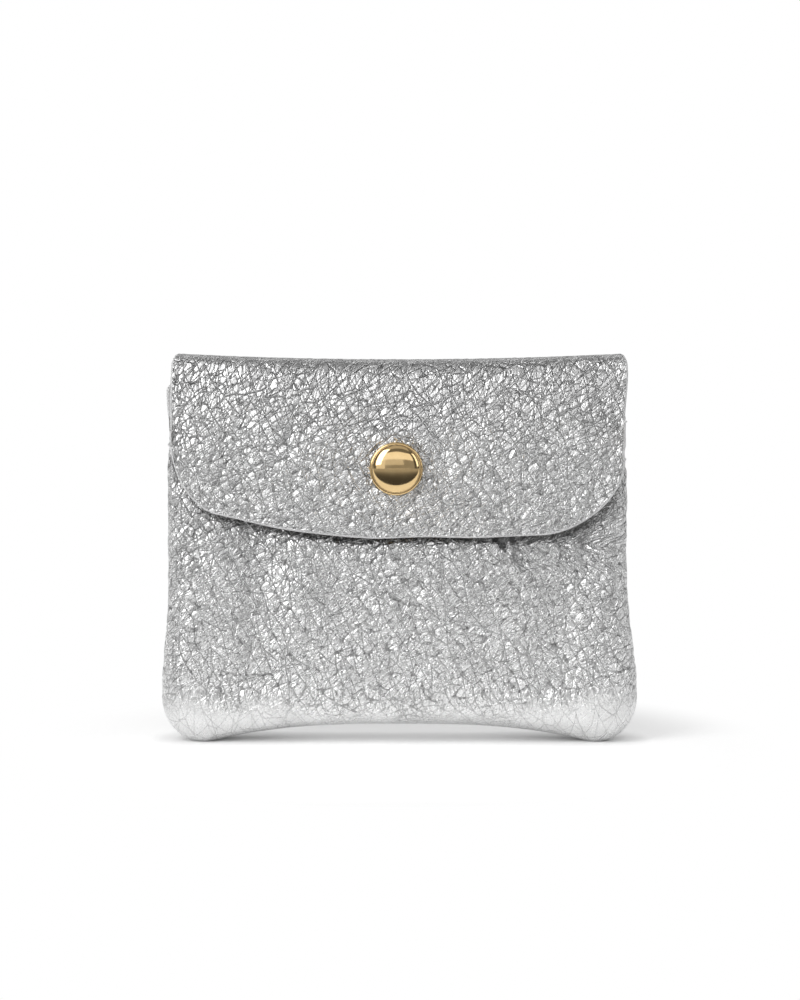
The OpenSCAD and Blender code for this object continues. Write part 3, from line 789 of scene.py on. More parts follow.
leather, edgeFinish = silverLeather(), cutEdge()
suede, lining = suedeSide("suedeSide", alongLeather), suedeSide("liningSuede", facingFront)
gold, tapeFinish, threadFinish = goldPlate(), zipCloth(), twistedThread()
print("materials ready")


# Leather panels.

# The inner side has a third of the outer side's steps; the rim goes down by shares of the thickness.
panelBuild = {
    "innerStep": 3,
    "rimDrops": (0.25, 0.5),
    "bevel": 0.08,
    "insideRows": 8,
    "insideColumns": 24,
}


def gridNormals(face):
    across = np.gradient(face, axis=1)
    along = np.gradient(face, axis=0)
    normal = np.cross(across, along)
    return normal / np.linalg.norm(normal, axis=2, keepdims=True)


def sampled(field, rows, columns):
    # Values of a grid at fractional rows and columns.
    r0 = np.clip(np.floor(rows).astype(int), 0, field.shape[0] - 2)
    c0 = np.clip(np.floor(columns).astype(int), 0, field.shape[1] - 2)
    fr, fc = (rows - r0)[:, None], (columns - c0)[:, None]
    top = field[r0, c0] * (1 - fc) + field[r0, c0 + 1] * fc
    low = field[r0 + 1, c0] * (1 - fc) + field[r0 + 1, c0 + 1] * fc
    return top * (1 - fr) + low * fr


def unit(vectors):
    return vectors / np.maximum(np.linalg.norm(vectors, axis=-1, keepdims=True), 1e-9)


def rimOutward(smooth, row, column, at, way):
    # Square to the rim and to the leather's normal, away from the panel's inside.
    lastRow, lastColumn = smooth.shape[0] - 1, smooth.shape[1] - 1
    inRow, inColumn = panelBuild["insideRows"], panelBuild["insideColumns"]
    inside = sampled(
        smooth, np.clip(row, inRow, lastRow - inRow), np.clip(column, inColumn, lastColumn - inColumn)
    )

    def stepAlong(down, over):
        # from one neighbour on the grid to the other
        ends = [
            sampled(smooth, np.clip(row + s * down, 0, lastRow), np.clip(column + s * over, 0, lastColumn))
            for s in (1, -1)
        ]
        return ends[0] - ends[1]

    nextTo = (stepAlong(0, 1), stepAlong(1, 0))
    onEnd = (row < 0.5) | (row > lastRow - 0.5)
    onSide = (column < 0.5) | (column > lastColumn - 0.5)
    total = np.zeros(at.shape)
    for tangent, here in zip(nextTo, (onEnd, onSide)):
        square = unit(np.cross(tangent, way))
        square *= np.sign((square * (at - inside)).sum(axis=1, keepdims=True))
        total += square * here[:, None]
    return unit(total)


def placed(bm, name):
    # Makes a bmesh an object of the scene.
    mesh = bpy.data.meshes.new(name)
    bm.to_mesh(mesh)
    bm.free()
    made = bpy.data.objects.new(name, mesh)
    scene.collection.objects.link(made)
    return made


def only(kind, things):
    return [thing for thing in things if isinstance(thing, kind)]


def finishFaces(verts, index):
    for v in verts:
        for f in v.link_faces:
            f.material_index = index


def flatPanel(name, columns, rows):
    # A unit square for the grained side, two turns of rim and the inner side, not yet shaped.
    bm = bmesh.new()
    bmesh.ops.create_grid(bm, x_segments=columns - 1, y_segments=rows - 1, size=0.5)
    rim = [e for e in bm.edges if e.is_boundary]
    across, along = (columns - 1) // panelBuild["innerStep"], (rows - 1) // panelBuild["innerStep"]
    made = bmesh.ops.create_grid(bm, x_segments=across, y_segments=along, size=0.5)["verts"]
    bmesh.ops.translate(bm, verts=made, vec=(0, 0, -1))
    finishFaces(made, 2)
    inner = set(made)
    innerRim = [e for e in bm.edges if e.is_boundary and e.verts[0] in inner]
    for drop in panelBuild["rimDrops"]:
        pushed = bmesh.ops.extrude_edge_only(bm, edges=rim)["geom"]
        corners = only(bmesh.types.BMVert, pushed)
        bmesh.ops.translate(bm, verts=corners, vec=(0, 0, -drop))
        rim = [e for e in only(bmesh.types.BMEdge, pushed) if e.is_boundary]
        finishFaces(corners, 1)
    for f in bmesh.ops.bridge_loops(bm, edges=rim + innerRim)["faces"]:
        f.material_index = 1
    return placed(bm, name)


def smoothPanel(mesh):
    bm = bmesh.new()
    bm.from_mesh(mesh)
    bmesh.ops.recalc_face_normals(bm, faces=bm.faces)
    for f in bm.faces:
        f.smooth = True
    for e in bm.edges:
        e.smooth = len({f.material_index for f in e.link_faces}) == 1
    bm.to_mesh(mesh)
    bm.free()


def leatherPanel(name, smooth, face, normals, laid, thick, bevel=panelBuild["bevel"]):
    # smooth and face are grids of points, without and with the grain; laid runs over the leather
    rows, columns = face.shape[:2]
    panel = flatPanel(name, columns, rows)
    mesh = panel.data
    flat = np.zeros(len(mesh.vertices) * 3)
    mesh.vertices.foreach_get("co", flat)
    flat = flat.reshape(-1, 3)
    column = (flat[:, 0] + 0.5) * (columns - 1)
    row = (flat[:, 1] + 0.5) * (rows - 1)
    level = -flat[:, 2]
    at = sampled(smooth, row, column)
    way = sampled(normals, row, column)
    place = at - way * thick * level[:, None]
    top = level < 0.1
    place[top] = face[np.rint(row[top]).astype(int), np.rint(column[top]).astype(int)]
    onRim = (level > 0.1) & (level < 0.9)
    place[onRim] += rimOutward(smooth, row, column, at, way)[onRim] * bevel
    mesh.vertices.foreach_set("co", (place * mm).astype(np.float32).ravel())
    mapped = mesh.attributes.new("leatherMap", "FLOAT_VECTOR", "POINT")
    spread = sampled(laid, row, column)
    mapped.data.foreach_set("vector", spread.astype(np.float32).ravel())
    mesh.update()
    smoothPanel(mesh)
    for finish in (leather, edgeFinish, suede):
        mesh.materials.append(finish)
    return panel


def yOf(depth):
    return purse["backY"] - depth


# Steps across every sheet, and rows along each stretch of it. The flap's panel ends halfway over.
steps = {
    "columns": 420,
    "flap": 148,
    "flapBend": 14,
    "halfTop": 12,
    "backBend": 12,
    "back": 140,
    "tray": 34,
    "frontTray": 50,
    "frontLow": 118,
    "frontHigh": 30,
    "frontLowShare": 0.64,
    "easedFlap": 26,
    "easedBack": 12,
}
topRow = steps["flap"] + steps["flapBend"] + steps["halfTop"]
backRow = topRow + steps["halfTop"] + steps["backBend"]
across = np.linspace(-1.0, 1.0, steps["columns"] + 1)


def bodyRow(way, z, half):
    x, turn = sideSpread(across, half, purse["sideShare"])
    if way > 0:
        full = frontDepth(x, z) - purse["seamDepth"]
    else:
        full = purse["seamDepth"] - backDepth(x, z)
    side = sideOpening(z) + purse["seamGap"]
    y = yOf(purse["seamDepth"] + way * mix(side, full, turn))
    return x, y


def trayRow(way, turnDegrees):
    high = purse["trayHigh"]
    x, rimY = bodyRow(way, np.full(across.shape, high), bodyHalf(high))
    seamY = yOf(purse["seamDepth"] + way * purse["seamGap"])
    turn = math.radians(turnDegrees)
    z = high - (high - bottomEdge(x)) * max(0.0, math.sin(turn)) ** purse["trayPower"]
    y = mix(seamY, rimY, max(0.0, math.cos(turn)) ** purse["trayPower"])
    return np.stack([x, y, np.maximum(z, 0.0)], axis=1)


def bendHalf(degrees):
    # half the width at a turn of the top's bends: the two top corners are a little rounded
    return purse["foldHalf"] - purse["topCorner"] * smoothStep((degrees - 10.0) / 75.0)


def bendRow(way, degrees, x):
    rim = purse["frontTopDepth"] if way > 0 else purse["backTopDepth"]
    middle = rim - way * purse["foldRound"]
    turn = math.radians(degrees)
    y = np.full(x.shape, yOf(middle + way * purse["foldRound"] * math.cos(turn)))
    z = foldTop(x) - purse["foldRound"] * (1 - math.sin(turn))
    return np.stack([x, y, z], axis=1)


def flapColumns():
    share = purse["cornerShare"]
    corner = purse["flapCorner"] / purse["flapHalf"]
    a = np.abs(across)
    turn = np.radians(90 * np.clip((a - share) / (1 - share), 0, 1))
    s = np.where(a <= share, a / share * (1 - corner), 1 - corner * (1 - np.sin(turn)))
    return np.sign(across) * s


def easedRows(sheet, first, last, near=12, spread=5.0, over=14.0):
    # Evens out the section between two rows so that its bends begin gently.
    weights = bell(np.arange(-near, near + 1), 0.0, spread)
    weights /= weights.sum()
    even = sheet.copy()
    for k in range(first, last):
        share = float(smoothStep((k - first) / over) * smoothStep((last - k) / over))
        middle = np.tensordot(weights, sheet[k - near : k + near + 1], axes=(0, 0))
        even[k] = mix(sheet[k], middle, share)
    return even


# How the grain is laid over the shell: drawn out across the bend and down from it.
shellGrain = {
    "bendStretch": 3.2,
    "bendReach": 7.0,
    "topShare": 0.55,
    "backGap": 0.4,
    "trayRun": 15.5,
    "footLevel": 0.45,
}


def flapRows():
    # The flap, from its edge up to where the bend begins; runs are counted from there.
    spread = flapColumns()
    x = spread * purse["flapHalf"]
    low, top = flapEdge(x), flapTopLine(x)
    for k in range(steps["flap"]):
        t = k / steps["flap"]
        z = mix(low, top, t)
        x = mix(spread, across, smoothStep((t - 0.35) / 0.6)) * flapHalfAt(z)
        yield settleFlap(np.stack([x, yOf(flapDepthAt(x, z)), z], axis=1)), z - top


def topLengths():
    # Along the leather: the front bend, the flat strip and the back bend.
    r = purse["foldRound"]
    flat = purse["frontTopDepth"] - purse["backTopDepth"] - 2 * r
    return r * math.radians(90 - purse["flapStart"]), flat, r * math.pi / 2


def topRows():
    start = purse["flapStart"]
    bendLength, stripLength, backBend = topLengths()
    for k in range(steps["flapBend"]):
        t = k / steps["flapBend"]
        turn = mix(start, 90, t)
        yield bendRow(1, turn, across * bendHalf(turn)), bendLength * t
    u0 = purse["frontTopDepth"] - purse["foldRound"]
    for k in range(2 * steps["halfTop"]):
        t = k / (2 * steps["halfTop"])
        x = across * bendHalf(90)
        y = np.full(x.shape, yOf(u0 - stripLength * t))
        yield np.stack([x, y, foldTop(x)], axis=1), bendLength + stripLength * t
    for k in range(steps["backBend"]):
        t = k / steps["backBend"]
        turn = mix(90, 0, t)
        run = bendLength + stripLength + backBend * t
        yield bendRow(-1, turn, across * bendHalf(turn)), run


def backRows(base):
    # Down the back and under it to the bottom seam.
    x = across * purse["foldHalf"]
    topZ = foldTop(x) - purse["foldRound"]
    for k in range(steps["back"]):
        z = mix(topZ, purse["trayHigh"], k / steps["back"])
        narrow = 1 - smoothStep((topZ - z - 0.5) / 4.5)
        full = bodyHalf(z) + 0.9 * (across < 0) * bell(z, 83.0, 8.0)
        bx, by = bodyRow(-1, z, mix(full, purse["foldHalf"], narrow))
        y = mix(by, yOf(backLean(z)), narrow)
        run = base + (topZ - z)
        yield settleBody(np.stack([mix(bx, x, narrow), y, z], axis=1)), run
    base = run + shellGrain["backGap"]
    for k in range(steps["tray"] + 1):
        turn = 90 * k / steps["tray"]
        yield settleBody(trayRow(-1, turn)), base + shellGrain["trayRun"] * k / steps["tray"]


def shellSheet():
    # One sheet from the flap's edge, over the fold and down the back to the bottom seam.
    g = shellGrain
    laid = [*flapRows(), *topRows(), *backRows(sum(topLengths()))]
    first, last = steps["flap"] - steps["easedFlap"], backRow + steps["easedBack"]
    sheet = easedRows(np.stack([row for row, run in laid]), first, last)
    run = np.stack([np.broadcast_to(run, across.shape) for row, run in laid])
    drawn = run + g["bendStretch"] * (1 - np.exp(run / g["bendReach"]))
    run = np.where(run < 0, drawn, g["topShare"] * run)
    rise = smoothStep((sheet[:, :, 2] - 3.0) / 8.0)
    strong = g["footLevel"] + (1.0 - g["footLevel"]) * rise
    return sheet, np.stack([sheet[:, :, 0], run, strong], axis=2)


def sideRun(sheet):
    # The leather's own distance across, from the middle column out to each side.
    stepsAcross = np.linalg.norm(np.diff(sheet, axis=1), axis=2)
    total = np.concatenate([np.zeros((sheet.shape[0], 1)), np.cumsum(stepsAcross, axis=1)], axis=1)
    return total - total[:, [sheet.shape[1] // 2]]


def grained(sheet, laid, strength):
    normals = gridNormals(sheet)
    height = grainOn(laid.reshape(-1, 3)).reshape(sheet.shape[:2])
    return sheet + normals * ((height - grain["midHeight"]) * strength)[:, :, None], normals


def dressShell():
    # Swells and grains the whole sheet, then cuts it in two along the middle of the top.
    shell, laid = shellSheet()
    normals = gridNormals(shell)
    row = np.arange(shell.shape[0])
    relief = np.zeros(shell.shape[:2])
    flap, back = row < steps["flap"], row > backRow
    fade = smoothStep((steps["flap"] - row) / 40.0)[:, None]
    relief[flap] = flapSwell(shell[flap, :, 0], shell[flap, :, 2]) * fade[flap]
    fade = smoothStep((row - backRow) / 40.0) * smoothStep((row[-1] - row) / 30.0)
    relief[back] = backSwell(shell[back, :, 0], shell[back, :, 2]) * fade[back, None]
    shell = shell + normals * relief[:, :, None]
    laid[:, :, 0] = sideRun(shell) * 0.5 + laid[:, :, 0] * 0.5
    face, normals = grained(shell, laid, grain["depth"])
    panels = []
    for name, part, bevel in (
        ("flap_leather", slice(0, topRow + 1), purse["flapBevel"]),
        ("back_leather", slice(topRow, None), panelBuild["bevel"]),
    ):
        sheets = [sheet[part] for sheet in (shell, face, normals, laid)]
        panels.append(leatherPanel(name, *sheets, purse["leatherThick"], bevel))
    return panels


flapPanel, backPanel = dressShell()
print("flap and back", len(flapPanel.data.polygons), len(backPanel.data.polygons))


# Where the front's plain foot goes over into the grain.
frontGrain = {
    "low": 10.0,
    "archDrop": 4.5,
    "archWide": 36.0,
    "wander": 1.2,
    "footLevel": 0.05,
    "over": 8.5,
    "shift": 300.0,
}


def frontSheet():
    # From the bottom seam, round the foot and up to the mouth.
    rows, runs = [], []
    g, full = frontGrain, shellGrain["trayRun"]
    for k in range(steps["frontTray"]):
        rows.append(settleBody(trayRow(1, 90 - 90 * k / steps["frontTray"])))
        runs.append(np.full(across.shape, full * k / steps["frontTray"]))
    lowShare = steps["frontLowShare"]
    stations = np.concatenate([
        np.linspace(0.0, lowShare, steps["frontLow"], endpoint=False),
        np.linspace(lowShare, 1.0, steps["frontHigh"] + 1),
    ])
    share = purse["sideShare"]
    edge = np.maximum(0.0, (np.abs(across) - share) / (1 - share))
    top = purse["mouthHigh"] - 3.5 * edge * edge
    for t in stations:
        z = mix(purse["trayHigh"], top, t)
        half = bodyHalf(z) - purse["topTaper"] * smoothStep((z - 64.0) / 12.0)
        x, y = bodyRow(1, z, half)
        rows.append(settleBody(np.stack([x, y, z], axis=1)))
        runs.append(full + z - purse["trayHigh"])
    sheet = np.stack(rows)
    x, z = sheet[:, :, 0], sheet[:, :, 2]
    low = g["low"] - g["archDrop"] * bell(x, 0.0, g["archWide"])
    low = low + g["wander"] * softNoise(x, z, 16.0, 51)
    rise = smoothStep((z - low + 3.0) / g["over"])
    strong = g["footLevel"] + (1.0 - g["footLevel"]) * rise
    return sheet, np.stack([x, np.stack(runs) + g["shift"], strong], axis=2)


def dressFront():
    sheet, laid = frontSheet()
    x, z = sheet[:, :, 0], sheet[:, :, 2]
    push = frontSwell(x, z) * smoothStep(np.arange(sheet.shape[0]) / 30.0)[:, None]
    push *= 1 - pressed(x, z)
    sheet = sheet + gridNormals(sheet) * push[:, :, None]
    laid[:, :, 0] = sideRun(sheet)
    face, normals = grained(sheet, laid, grain["frontDepth"])
    return leatherPanel("front_leather", sheet, face, normals, laid, purse["leatherThick"])


frontPanel = dressFront()
print("front", len(frontPanel.data.polygons))

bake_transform(flapPanel)
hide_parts("flap")
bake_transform(backPanel)
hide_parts("back_panel", "top_fold")
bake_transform(frontPanel)
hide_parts("front_base", "front_panel")


# The gussets fold inwards between the side edges of the front and the back.
gusset = {
    "low": 19.0,
    "high": 77.0,
    "thick": 0.8,
    "leastReach": 0.8,
    "reach": 9.5,
    "openOver": 45.0,
    "leastGap": 0.6,
    "edgeGap": 0.3,
    "rows": 198,
    "columns": 90,
    "strength": 0.6,
    "foldPower": 0.8,
    "ripple": 0.12,
    "grainShift": 600.0,
    "handShift": 90.0,
}


def gussetSheet(hand):
    g = gusset
    z = np.linspace(g["low"], g["high"], g["rows"] + 1)[:, None]
    t = np.linspace(0.0, 1.0, g["columns"] + 1)[None, :]
    rim = bodyHalf(z) - purse["leatherThick"] - 2 * g["edgeGap"]
    reach = mix(g["leastReach"], g["reach"], smoothStep((z - g["low"]) / g["openOver"]))
    inside = bellyCurve(z) - purse["frontCrown"] - purse["leatherThick"] - g["thick"]
    inside = inside - 2 * g["edgeGap"] - purse["seamDepth"]
    gap = np.maximum(g["leastGap"], np.minimum(sideOpening(z) - 0.2, inside))
    x = hand * (rim - reach * np.sin(math.pi * t) ** g["foldPower"])
    y = yOf(purse["seamDepth"] + hand * gap * (1 - 2 * t))
    sheet = settleBody(np.stack([x, y, z + 0 * t], axis=2))
    strong = np.full(x.shape, g["strength"])
    run = sheet[:, :, 2] + g["grainShift"] + g["handShift"] * hand
    return sheet, np.stack([sideRun(sheet), run, strong], axis=2)


for name, hand in (("left_gusset", -1), ("right_gusset", 1)):
    sheet, laid = gussetSheet(hand)
    ripple = gusset["ripple"] * softNoise(sheet[:, :, 1] * 2.0, sheet[:, :, 2], 14.0, 61 + hand)
    ripple = ripple * np.sin(math.pi * np.linspace(0, 1, gusset["columns"] + 1))
    sheet = sheet + gridNormals(sheet) * ripple[:, :, None]
    face, faceNormals = grained(sheet, laid, grain["depth"] * gusset["strength"])
    panel = leatherPanel(name + "_leather", sheet, face, faceNormals, laid, gusset["thick"])
    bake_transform(panel)
    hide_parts(name)
print("gussets")


def dress(piece, finish, body, node):
    piece.data.materials.append(finish)
    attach(piece, body)
    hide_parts(node)


def addPiece(bm, name, finish, body, node):
    # From millimetres to metres, with its sharp edges kept sharp.
    bmesh.ops.scale(bm, verts=bm.verts, vec=(mm, mm, mm))
    bmesh.ops.recalc_face_normals(bm, faces=bm.faces)
    for f in bm.faces:
        f.smooth = True
    for e in bm.edges:
        e.smooth = len(e.link_faces) == 2 and e.calc_face_angle(0.0) < math.radians(50)
    dress(placed(bm, name), finish, body, node)


def sharpEdges(bm):
    return [e for e in bm.edges if e.calc_face_angle(0.0) > math.radians(60)]


def softenEdges(bm, edges, width, segments=2):
    bmesh.ops.bevel(
        bm,
        geom=edges,
        offset=width,
        offset_type="OFFSET",
        affect="EDGES",
        segments=segments,
        profile=0.5,
        material=-1,
    )


def turnVerts(bm, verts, axis):
    quarter = Matrix.Rotation(math.radians(90), 3, axis)
    bmesh.ops.rotate(bm, verts=verts, matrix=quarter, cent=(0, 0, 0))


def nodeBox(node):
    return [np.array(corner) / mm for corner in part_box(node)]


# The coin pocket: two lined walls with turned hems, a strip round three sides, and the zip.
pocket = {
    "columns": 104,
    "rows": 86,
    "ripple": 0.09,
    "rippleLength": 15.0,
    "rippleFade": 8.0,
    "hemHigh": 5.6,
    "hemOver": 0.1,
    "hemClear": 2.0,
    "thick": 0.5,
    "edgeRound": 0.14,
    "backSet": 0.05,
}
strip = {
    "thick": 0.8,
    "wallShare": 0.9,
    "turn": 2.4,
    "turnSteps": 8,
    "inset": 0.08,
    "edgeRound": 0.12,
}
zipTapes = {
    "thick": 0.35,
    "edgeRound": 0.1,
}
stitch = {
    "long": 2.2,
    "pitch": 3.0,
    "count": 24,
    "round": 0.2,
    "sink": 0.12,
    "lean": 0.05,
}


def pocketWall(name, node, outward):
    # outward is the way its lined face looks: -1 to the front and 1 to the back
    p = pocket
    low, high = nodeBox(node)
    wide, tall, middleY = high[0] - low[0], high[2] - low[2], (low[1] + high[1]) / 2
    bm = bmesh.new()
    bmesh.ops.create_grid(bm, x_segments=p["columns"], y_segments=p["rows"], size=0.5)
    turnVerts(bm, bm.verts, "X")
    bmesh.ops.scale(bm, verts=bm.verts, vec=(wide, 1.0, tall))
    for v in bm.verts:
        x, z = v.co.x, v.co.z + (low[2] + high[2]) / 2
        calm = float(smoothStep((high[2] - p["hemHigh"] - p["hemClear"] - z) / p["rippleFade"]))
        wave = p["ripple"] * float(softNoise(x, z, p["rippleLength"], 71 + outward))
        hem = float(smoothStep((z - high[2] + p["hemHigh"]) / 0.5))
        v.co.z = z
        v.co.y = middleY + outward * p["thick"] / 2 + wave * calm * 0.5
        v.co.y += outward * (p["hemOver"] * hem - p["backSet"])
    bmesh.ops.recalc_face_normals(bm, faces=bm.faces)
    faces = list(bm.faces)
    if faces[0].normal.y * outward < 0:
        bmesh.ops.reverse_faces(bm, faces=faces)
    bmesh.ops.solidify(bm, geom=faces, thickness=p["thick"])
    softenEdges(bm, sharpEdges(bm), p["edgeRound"])
    addPiece(bm, name, lining, "pocket", node)


def stripPath(low, high):
    # Down one side, round the corner, along the bottom and up the other side.
    turn, reach = strip["turn"], strip["thick"] / 2
    path = [(low[0] + reach, high[2])]
    for side in (-1, 1):
        corner = (side * (high[0] - reach - turn), low[2] + reach + turn)
        for k in range(strip["turnSteps"] + 1):
            angle = math.radians(90 * k / strip["turnSteps"])
            angle = angle if side < 0 else math.radians(90) - angle
            out, down = turn * math.cos(angle), turn * math.sin(angle)
            path.append((corner[0] + side * out, corner[1] - down))
    return path + [(high[0] - reach, high[2])]


def pocketStrip():
    low, high = nodeBox("pocket_edge_strip")
    inset = strip["inset"]
    bm = bmesh.new()
    line = [bm.verts.new((x, low[1] + inset, z)) for x, z in stripPath(low, high)]
    edges = [bm.edges.new(pair) for pair in zip(line, line[1:])]
    for share in (0.12, 0.38, 0.38, 0.12):
        grown = bmesh.ops.extrude_edge_only(bm, edges=edges)["geom"]
        verts = only(bmesh.types.BMVert, grown)
        edges = [e for e in only(bmesh.types.BMEdge, grown) if all(v in verts for v in e.verts)]
        bmesh.ops.translate(bm, verts=verts, vec=(0, (high[1] - low[1] - 2 * inset) * share, 0))
    bmesh.ops.recalc_face_normals(bm, faces=bm.faces)
    wall = strip["thick"] * strip["wallShare"]
    bmesh.ops.solidify(bm, geom=list(bm.faces), thickness=wall)
    for v in bm.verts:
        v.co.x = min(max(v.co.x, low[0]), high[0])
        v.co.z = max(v.co.z, low[2])
    softenEdges(bm, sharpEdges(bm), strip["edgeRound"])
    addPiece(bm, "pocket_gusset_strip", lining, "pocket", "pocket_edge_strip")


def zipTape(name, node, way):
    # A woven band sewn inside the wall, turned over at the top to hold the teeth.
    low, high = nodeBox(node)
    thick = zipTapes["thick"]
    wallY, tipY = (high[1], low[1]) if way > 0 else (low[1], high[1])
    innerY = wallY - way * thick
    outline = [
        (wallY, low[2]),
        (wallY, high[2]),
        (tipY, high[2]),
        (tipY, high[2] - thick),
        (innerY, high[2] - thick),
        (innerY, low[2]),
    ]
    bm = bmesh.new()
    face = bm.faces.new([bm.verts.new((low[0], y, z)) for y, z in outline])
    grown = bmesh.ops.extrude_face_region(bm, geom=[face])["geom"]
    verts = only(bmesh.types.BMVert, grown)
    bmesh.ops.translate(bm, verts=verts, vec=(high[0] - low[0], 0, 0))
    softenEdges(bm, list(bm.edges), zipTapes["edgeRound"], 3)
    addPiece(bm, name, tapeFinish, "pocket", node)


def zipStitches():
    low, high = nodeBox("zip_stitching")
    s = stitch
    bm = bmesh.new()
    for side, y in ((-1, low[1] + s["sink"]), (1, high[1] - s["sink"])):
        for k in range(s["count"]):
            made = bmesh.ops.create_uvsphere(bm, u_segments=12, v_segments=8, radius=0.5)["verts"]
            turnVerts(bm, made, "Y")
            bmesh.ops.scale(bm, verts=made, vec=(s["long"], 2 * s["round"], 2 * s["round"]))
            for v in made:
                v.co.y -= side * s["sink"] * (2 * v.co.x / s["long"]) ** 4
                v.co.z += s["lean"] * v.co.x
            x = (k + 0.5 - s["count"] / 2) * s["pitch"]
            bmesh.ops.translate(bm, verts=made, vec=(x, y, (low[2] + high[2]) / 2))
    addPiece(bm, "zip_thread", threadFinish, "pocket", "zip_stitching")


pocketWall("pocket_back_lining", "pocket_back_wall", 1)
pocketWall("pocket_front_lining", "pocket_front_wall", -1)
pocketStrip()
zipTape("zip_tape_back_woven", "zip_tape_back", 1)
zipTape("zip_tape_front_woven", "zip_tape_front", -1)
zipStitches()
print("coin pocket")


# Press stud.

cap = {
    "radius": 6.25,
    "height": 3.0,
    "rimHigh": 1.0,
    "rimRound": 0.5,
    "rimTurn": 205.0,
    "rimSteps": 11,
    "domeSteps": 24,
    "rimStep": 0.12,
    "postRound": 1.5,
    "postDeep": 2.0,
    "clear": 0.05,
    "segments": 128,
}


def lathe(name, profile, origin):
    # Spins a profile of (radius, height) round a line that points to the front.
    bm = bmesh.new()
    verts = [bm.verts.new((r * mm, 0.0, h * mm)) for r, h in profile]
    edges = [bm.edges.new(pair) for pair in zip(verts, verts[1:])]
    bmesh.ops.spin(
        bm,
        geom=verts + edges,
        cent=(0, 0, 0),
        axis=(0, 0, 1),
        angle=2 * math.pi,
        steps=cap["segments"],
        use_merge=True,
    )
    bmesh.ops.remove_doubles(bm, verts=bm.verts, dist=1e-7)
    toFront = Vector((0, 0, 1)).rotation_difference(Vector((0, -1, 0))).to_matrix()
    bmesh.ops.rotate(bm, verts=bm.verts, cent=(0, 0, 0), matrix=toFront)
    bmesh.ops.translate(bm, verts=bm.verts, vec=[c * mm for c in origin])
    bmesh.ops.recalc_face_normals(bm, faces=bm.faces)
    made = placed(bm, name)
    made.data.shade_smooth()
    return made


def capProfile():
    # post, flat underside, rolled rim, the step inside it and then the dome
    post, rim = cap["postRound"], cap["rimRound"]
    inner = cap["radius"] - rim
    foot = cap["rimHigh"] - cap["rimStep"]
    points = [(0.0, -cap["postDeep"]), (post, -cap["postDeep"]), (post, 0.0), (inner, 0.0)]
    for k in range(1, cap["rimSteps"] + 1):
        turn = math.radians(-90 + cap["rimTurn"] * k / cap["rimSteps"])
        points.append((inner + rim * math.cos(turn), rim + rim * math.sin(turn)))
    points.append((inner, foot))
    for k in range(1, cap["domeSteps"] + 1):
        turn = math.radians(90 * k / cap["domeSteps"])
        points.append((inner * math.cos(turn), foot + (cap["height"] - foot) * math.sin(turn)))
    points[-1] = (0.0, cap["height"])
    return points


capY = yOf(purse["flapSnapDepth"] + cap["clear"])
capPiece = lathe("snap_dome", capProfile(), (purse["snapX"], capY, purse["snapHigh"]))
dress(capPiece, gold, "flap", "snap_cap")

# Suede discs that back the two halves of the press stud.
patches = {
    "flap_patch": ("flap_reinforcement", "flap", 1.6),
    "stud_patch": ("stud_reinforcement", "front", 1.3),
}


def patchProfile(hole, radius, thick):
    soft = thick * 0.35
    return [
        (hole, 0.0),
        (radius - soft, 0.0),
        (radius - soft * 0.3, soft * 0.3),
        (radius, thick / 2),
        (radius - soft * 0.3, thick - soft * 0.3),
        (radius - soft, thick),
        (hole + 0.2, thick),
        (hole, thick - 0.1),
        (hole, 0.0),
    ]


for name, (node, body, hole) in patches.items():
    low, high = nodeBox(node)
    profile = patchProfile(hole, (high[0] - low[0]) / 2, high[1] - low[1])
    patch = lathe(name, profile, (purse["snapX"], high[1], purse["snapHigh"]))
    dress(patch, lining, body, node)

brassNodes = (
    "snap_socket",
    "socket_spring",
    "snap_stud",
    "stud_post",
    "zip_teeth_back",
    "zip_teeth_front",
    "zip_top_stops",
    "zip_bottom_stop",
    "zip_slider",
    "zip_puller",
)
for name in brassNodes:
    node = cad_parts[name]
    node.data.materials.clear()
    node.data.materials.append(gold)
print("press stud and brass")


# Floor, light and camera.


def cameraOnly(tree):
    # Seen by the camera, by glossy rays and by rays that go through glass.
    path = tree.nodes.new("ShaderNodeLightPath")
    seen = maths(tree, "MAXIMUM", path.outputs["Is Camera Ray"], path.outputs["Is Glossy Ray"])
    seen = maths(tree, "MAXIMUM", seen, path.outputs["Is Transmission Ray"])
    return seen


studio = {
    "skyLevel": 0.6,
    "floorWhite": 0.86,
    "floorGlow": 0.42,
    "shadeReach": 0.007,
    "whiteFrom": 0.06,
    "whiteAt": 0.092,
    "groundFrom": 0.12,
    "groundTo": 0.6,
}


def whiteWhere(tree, kind, plain, seen):
    # The plain shader, and white where it is seen.
    white = wire(tree, kind, {"Color": grey(1.0), "Strength": 1.0})
    return wire(tree, "ShaderNodeMixShader", {0: seen, 1: plain.outputs[0], 2: white.outputs[0]})


def paleWorld():
    scene.world = bpy.data.worlds.new("paleStudio")
    tree = clearTree(scene.world)
    soft = wire(tree, "ShaderNodeBackground", {"Color": grey(1.0), "Strength": studio["skyLevel"]})
    both = whiteWhere(tree, "ShaderNodeBackground", soft, cameraOnly(tree))
    addOutput(tree, "ShaderNodeOutputWorld", both)


def fromMiddle(tree, near, far, start=0.0, end=1.0):
    place = wire(tree, "ShaderNodeTexCoord").outputs["Object"]
    return ramp(tree, vectorMath(tree, "LENGTH", place), near, far, start, end)


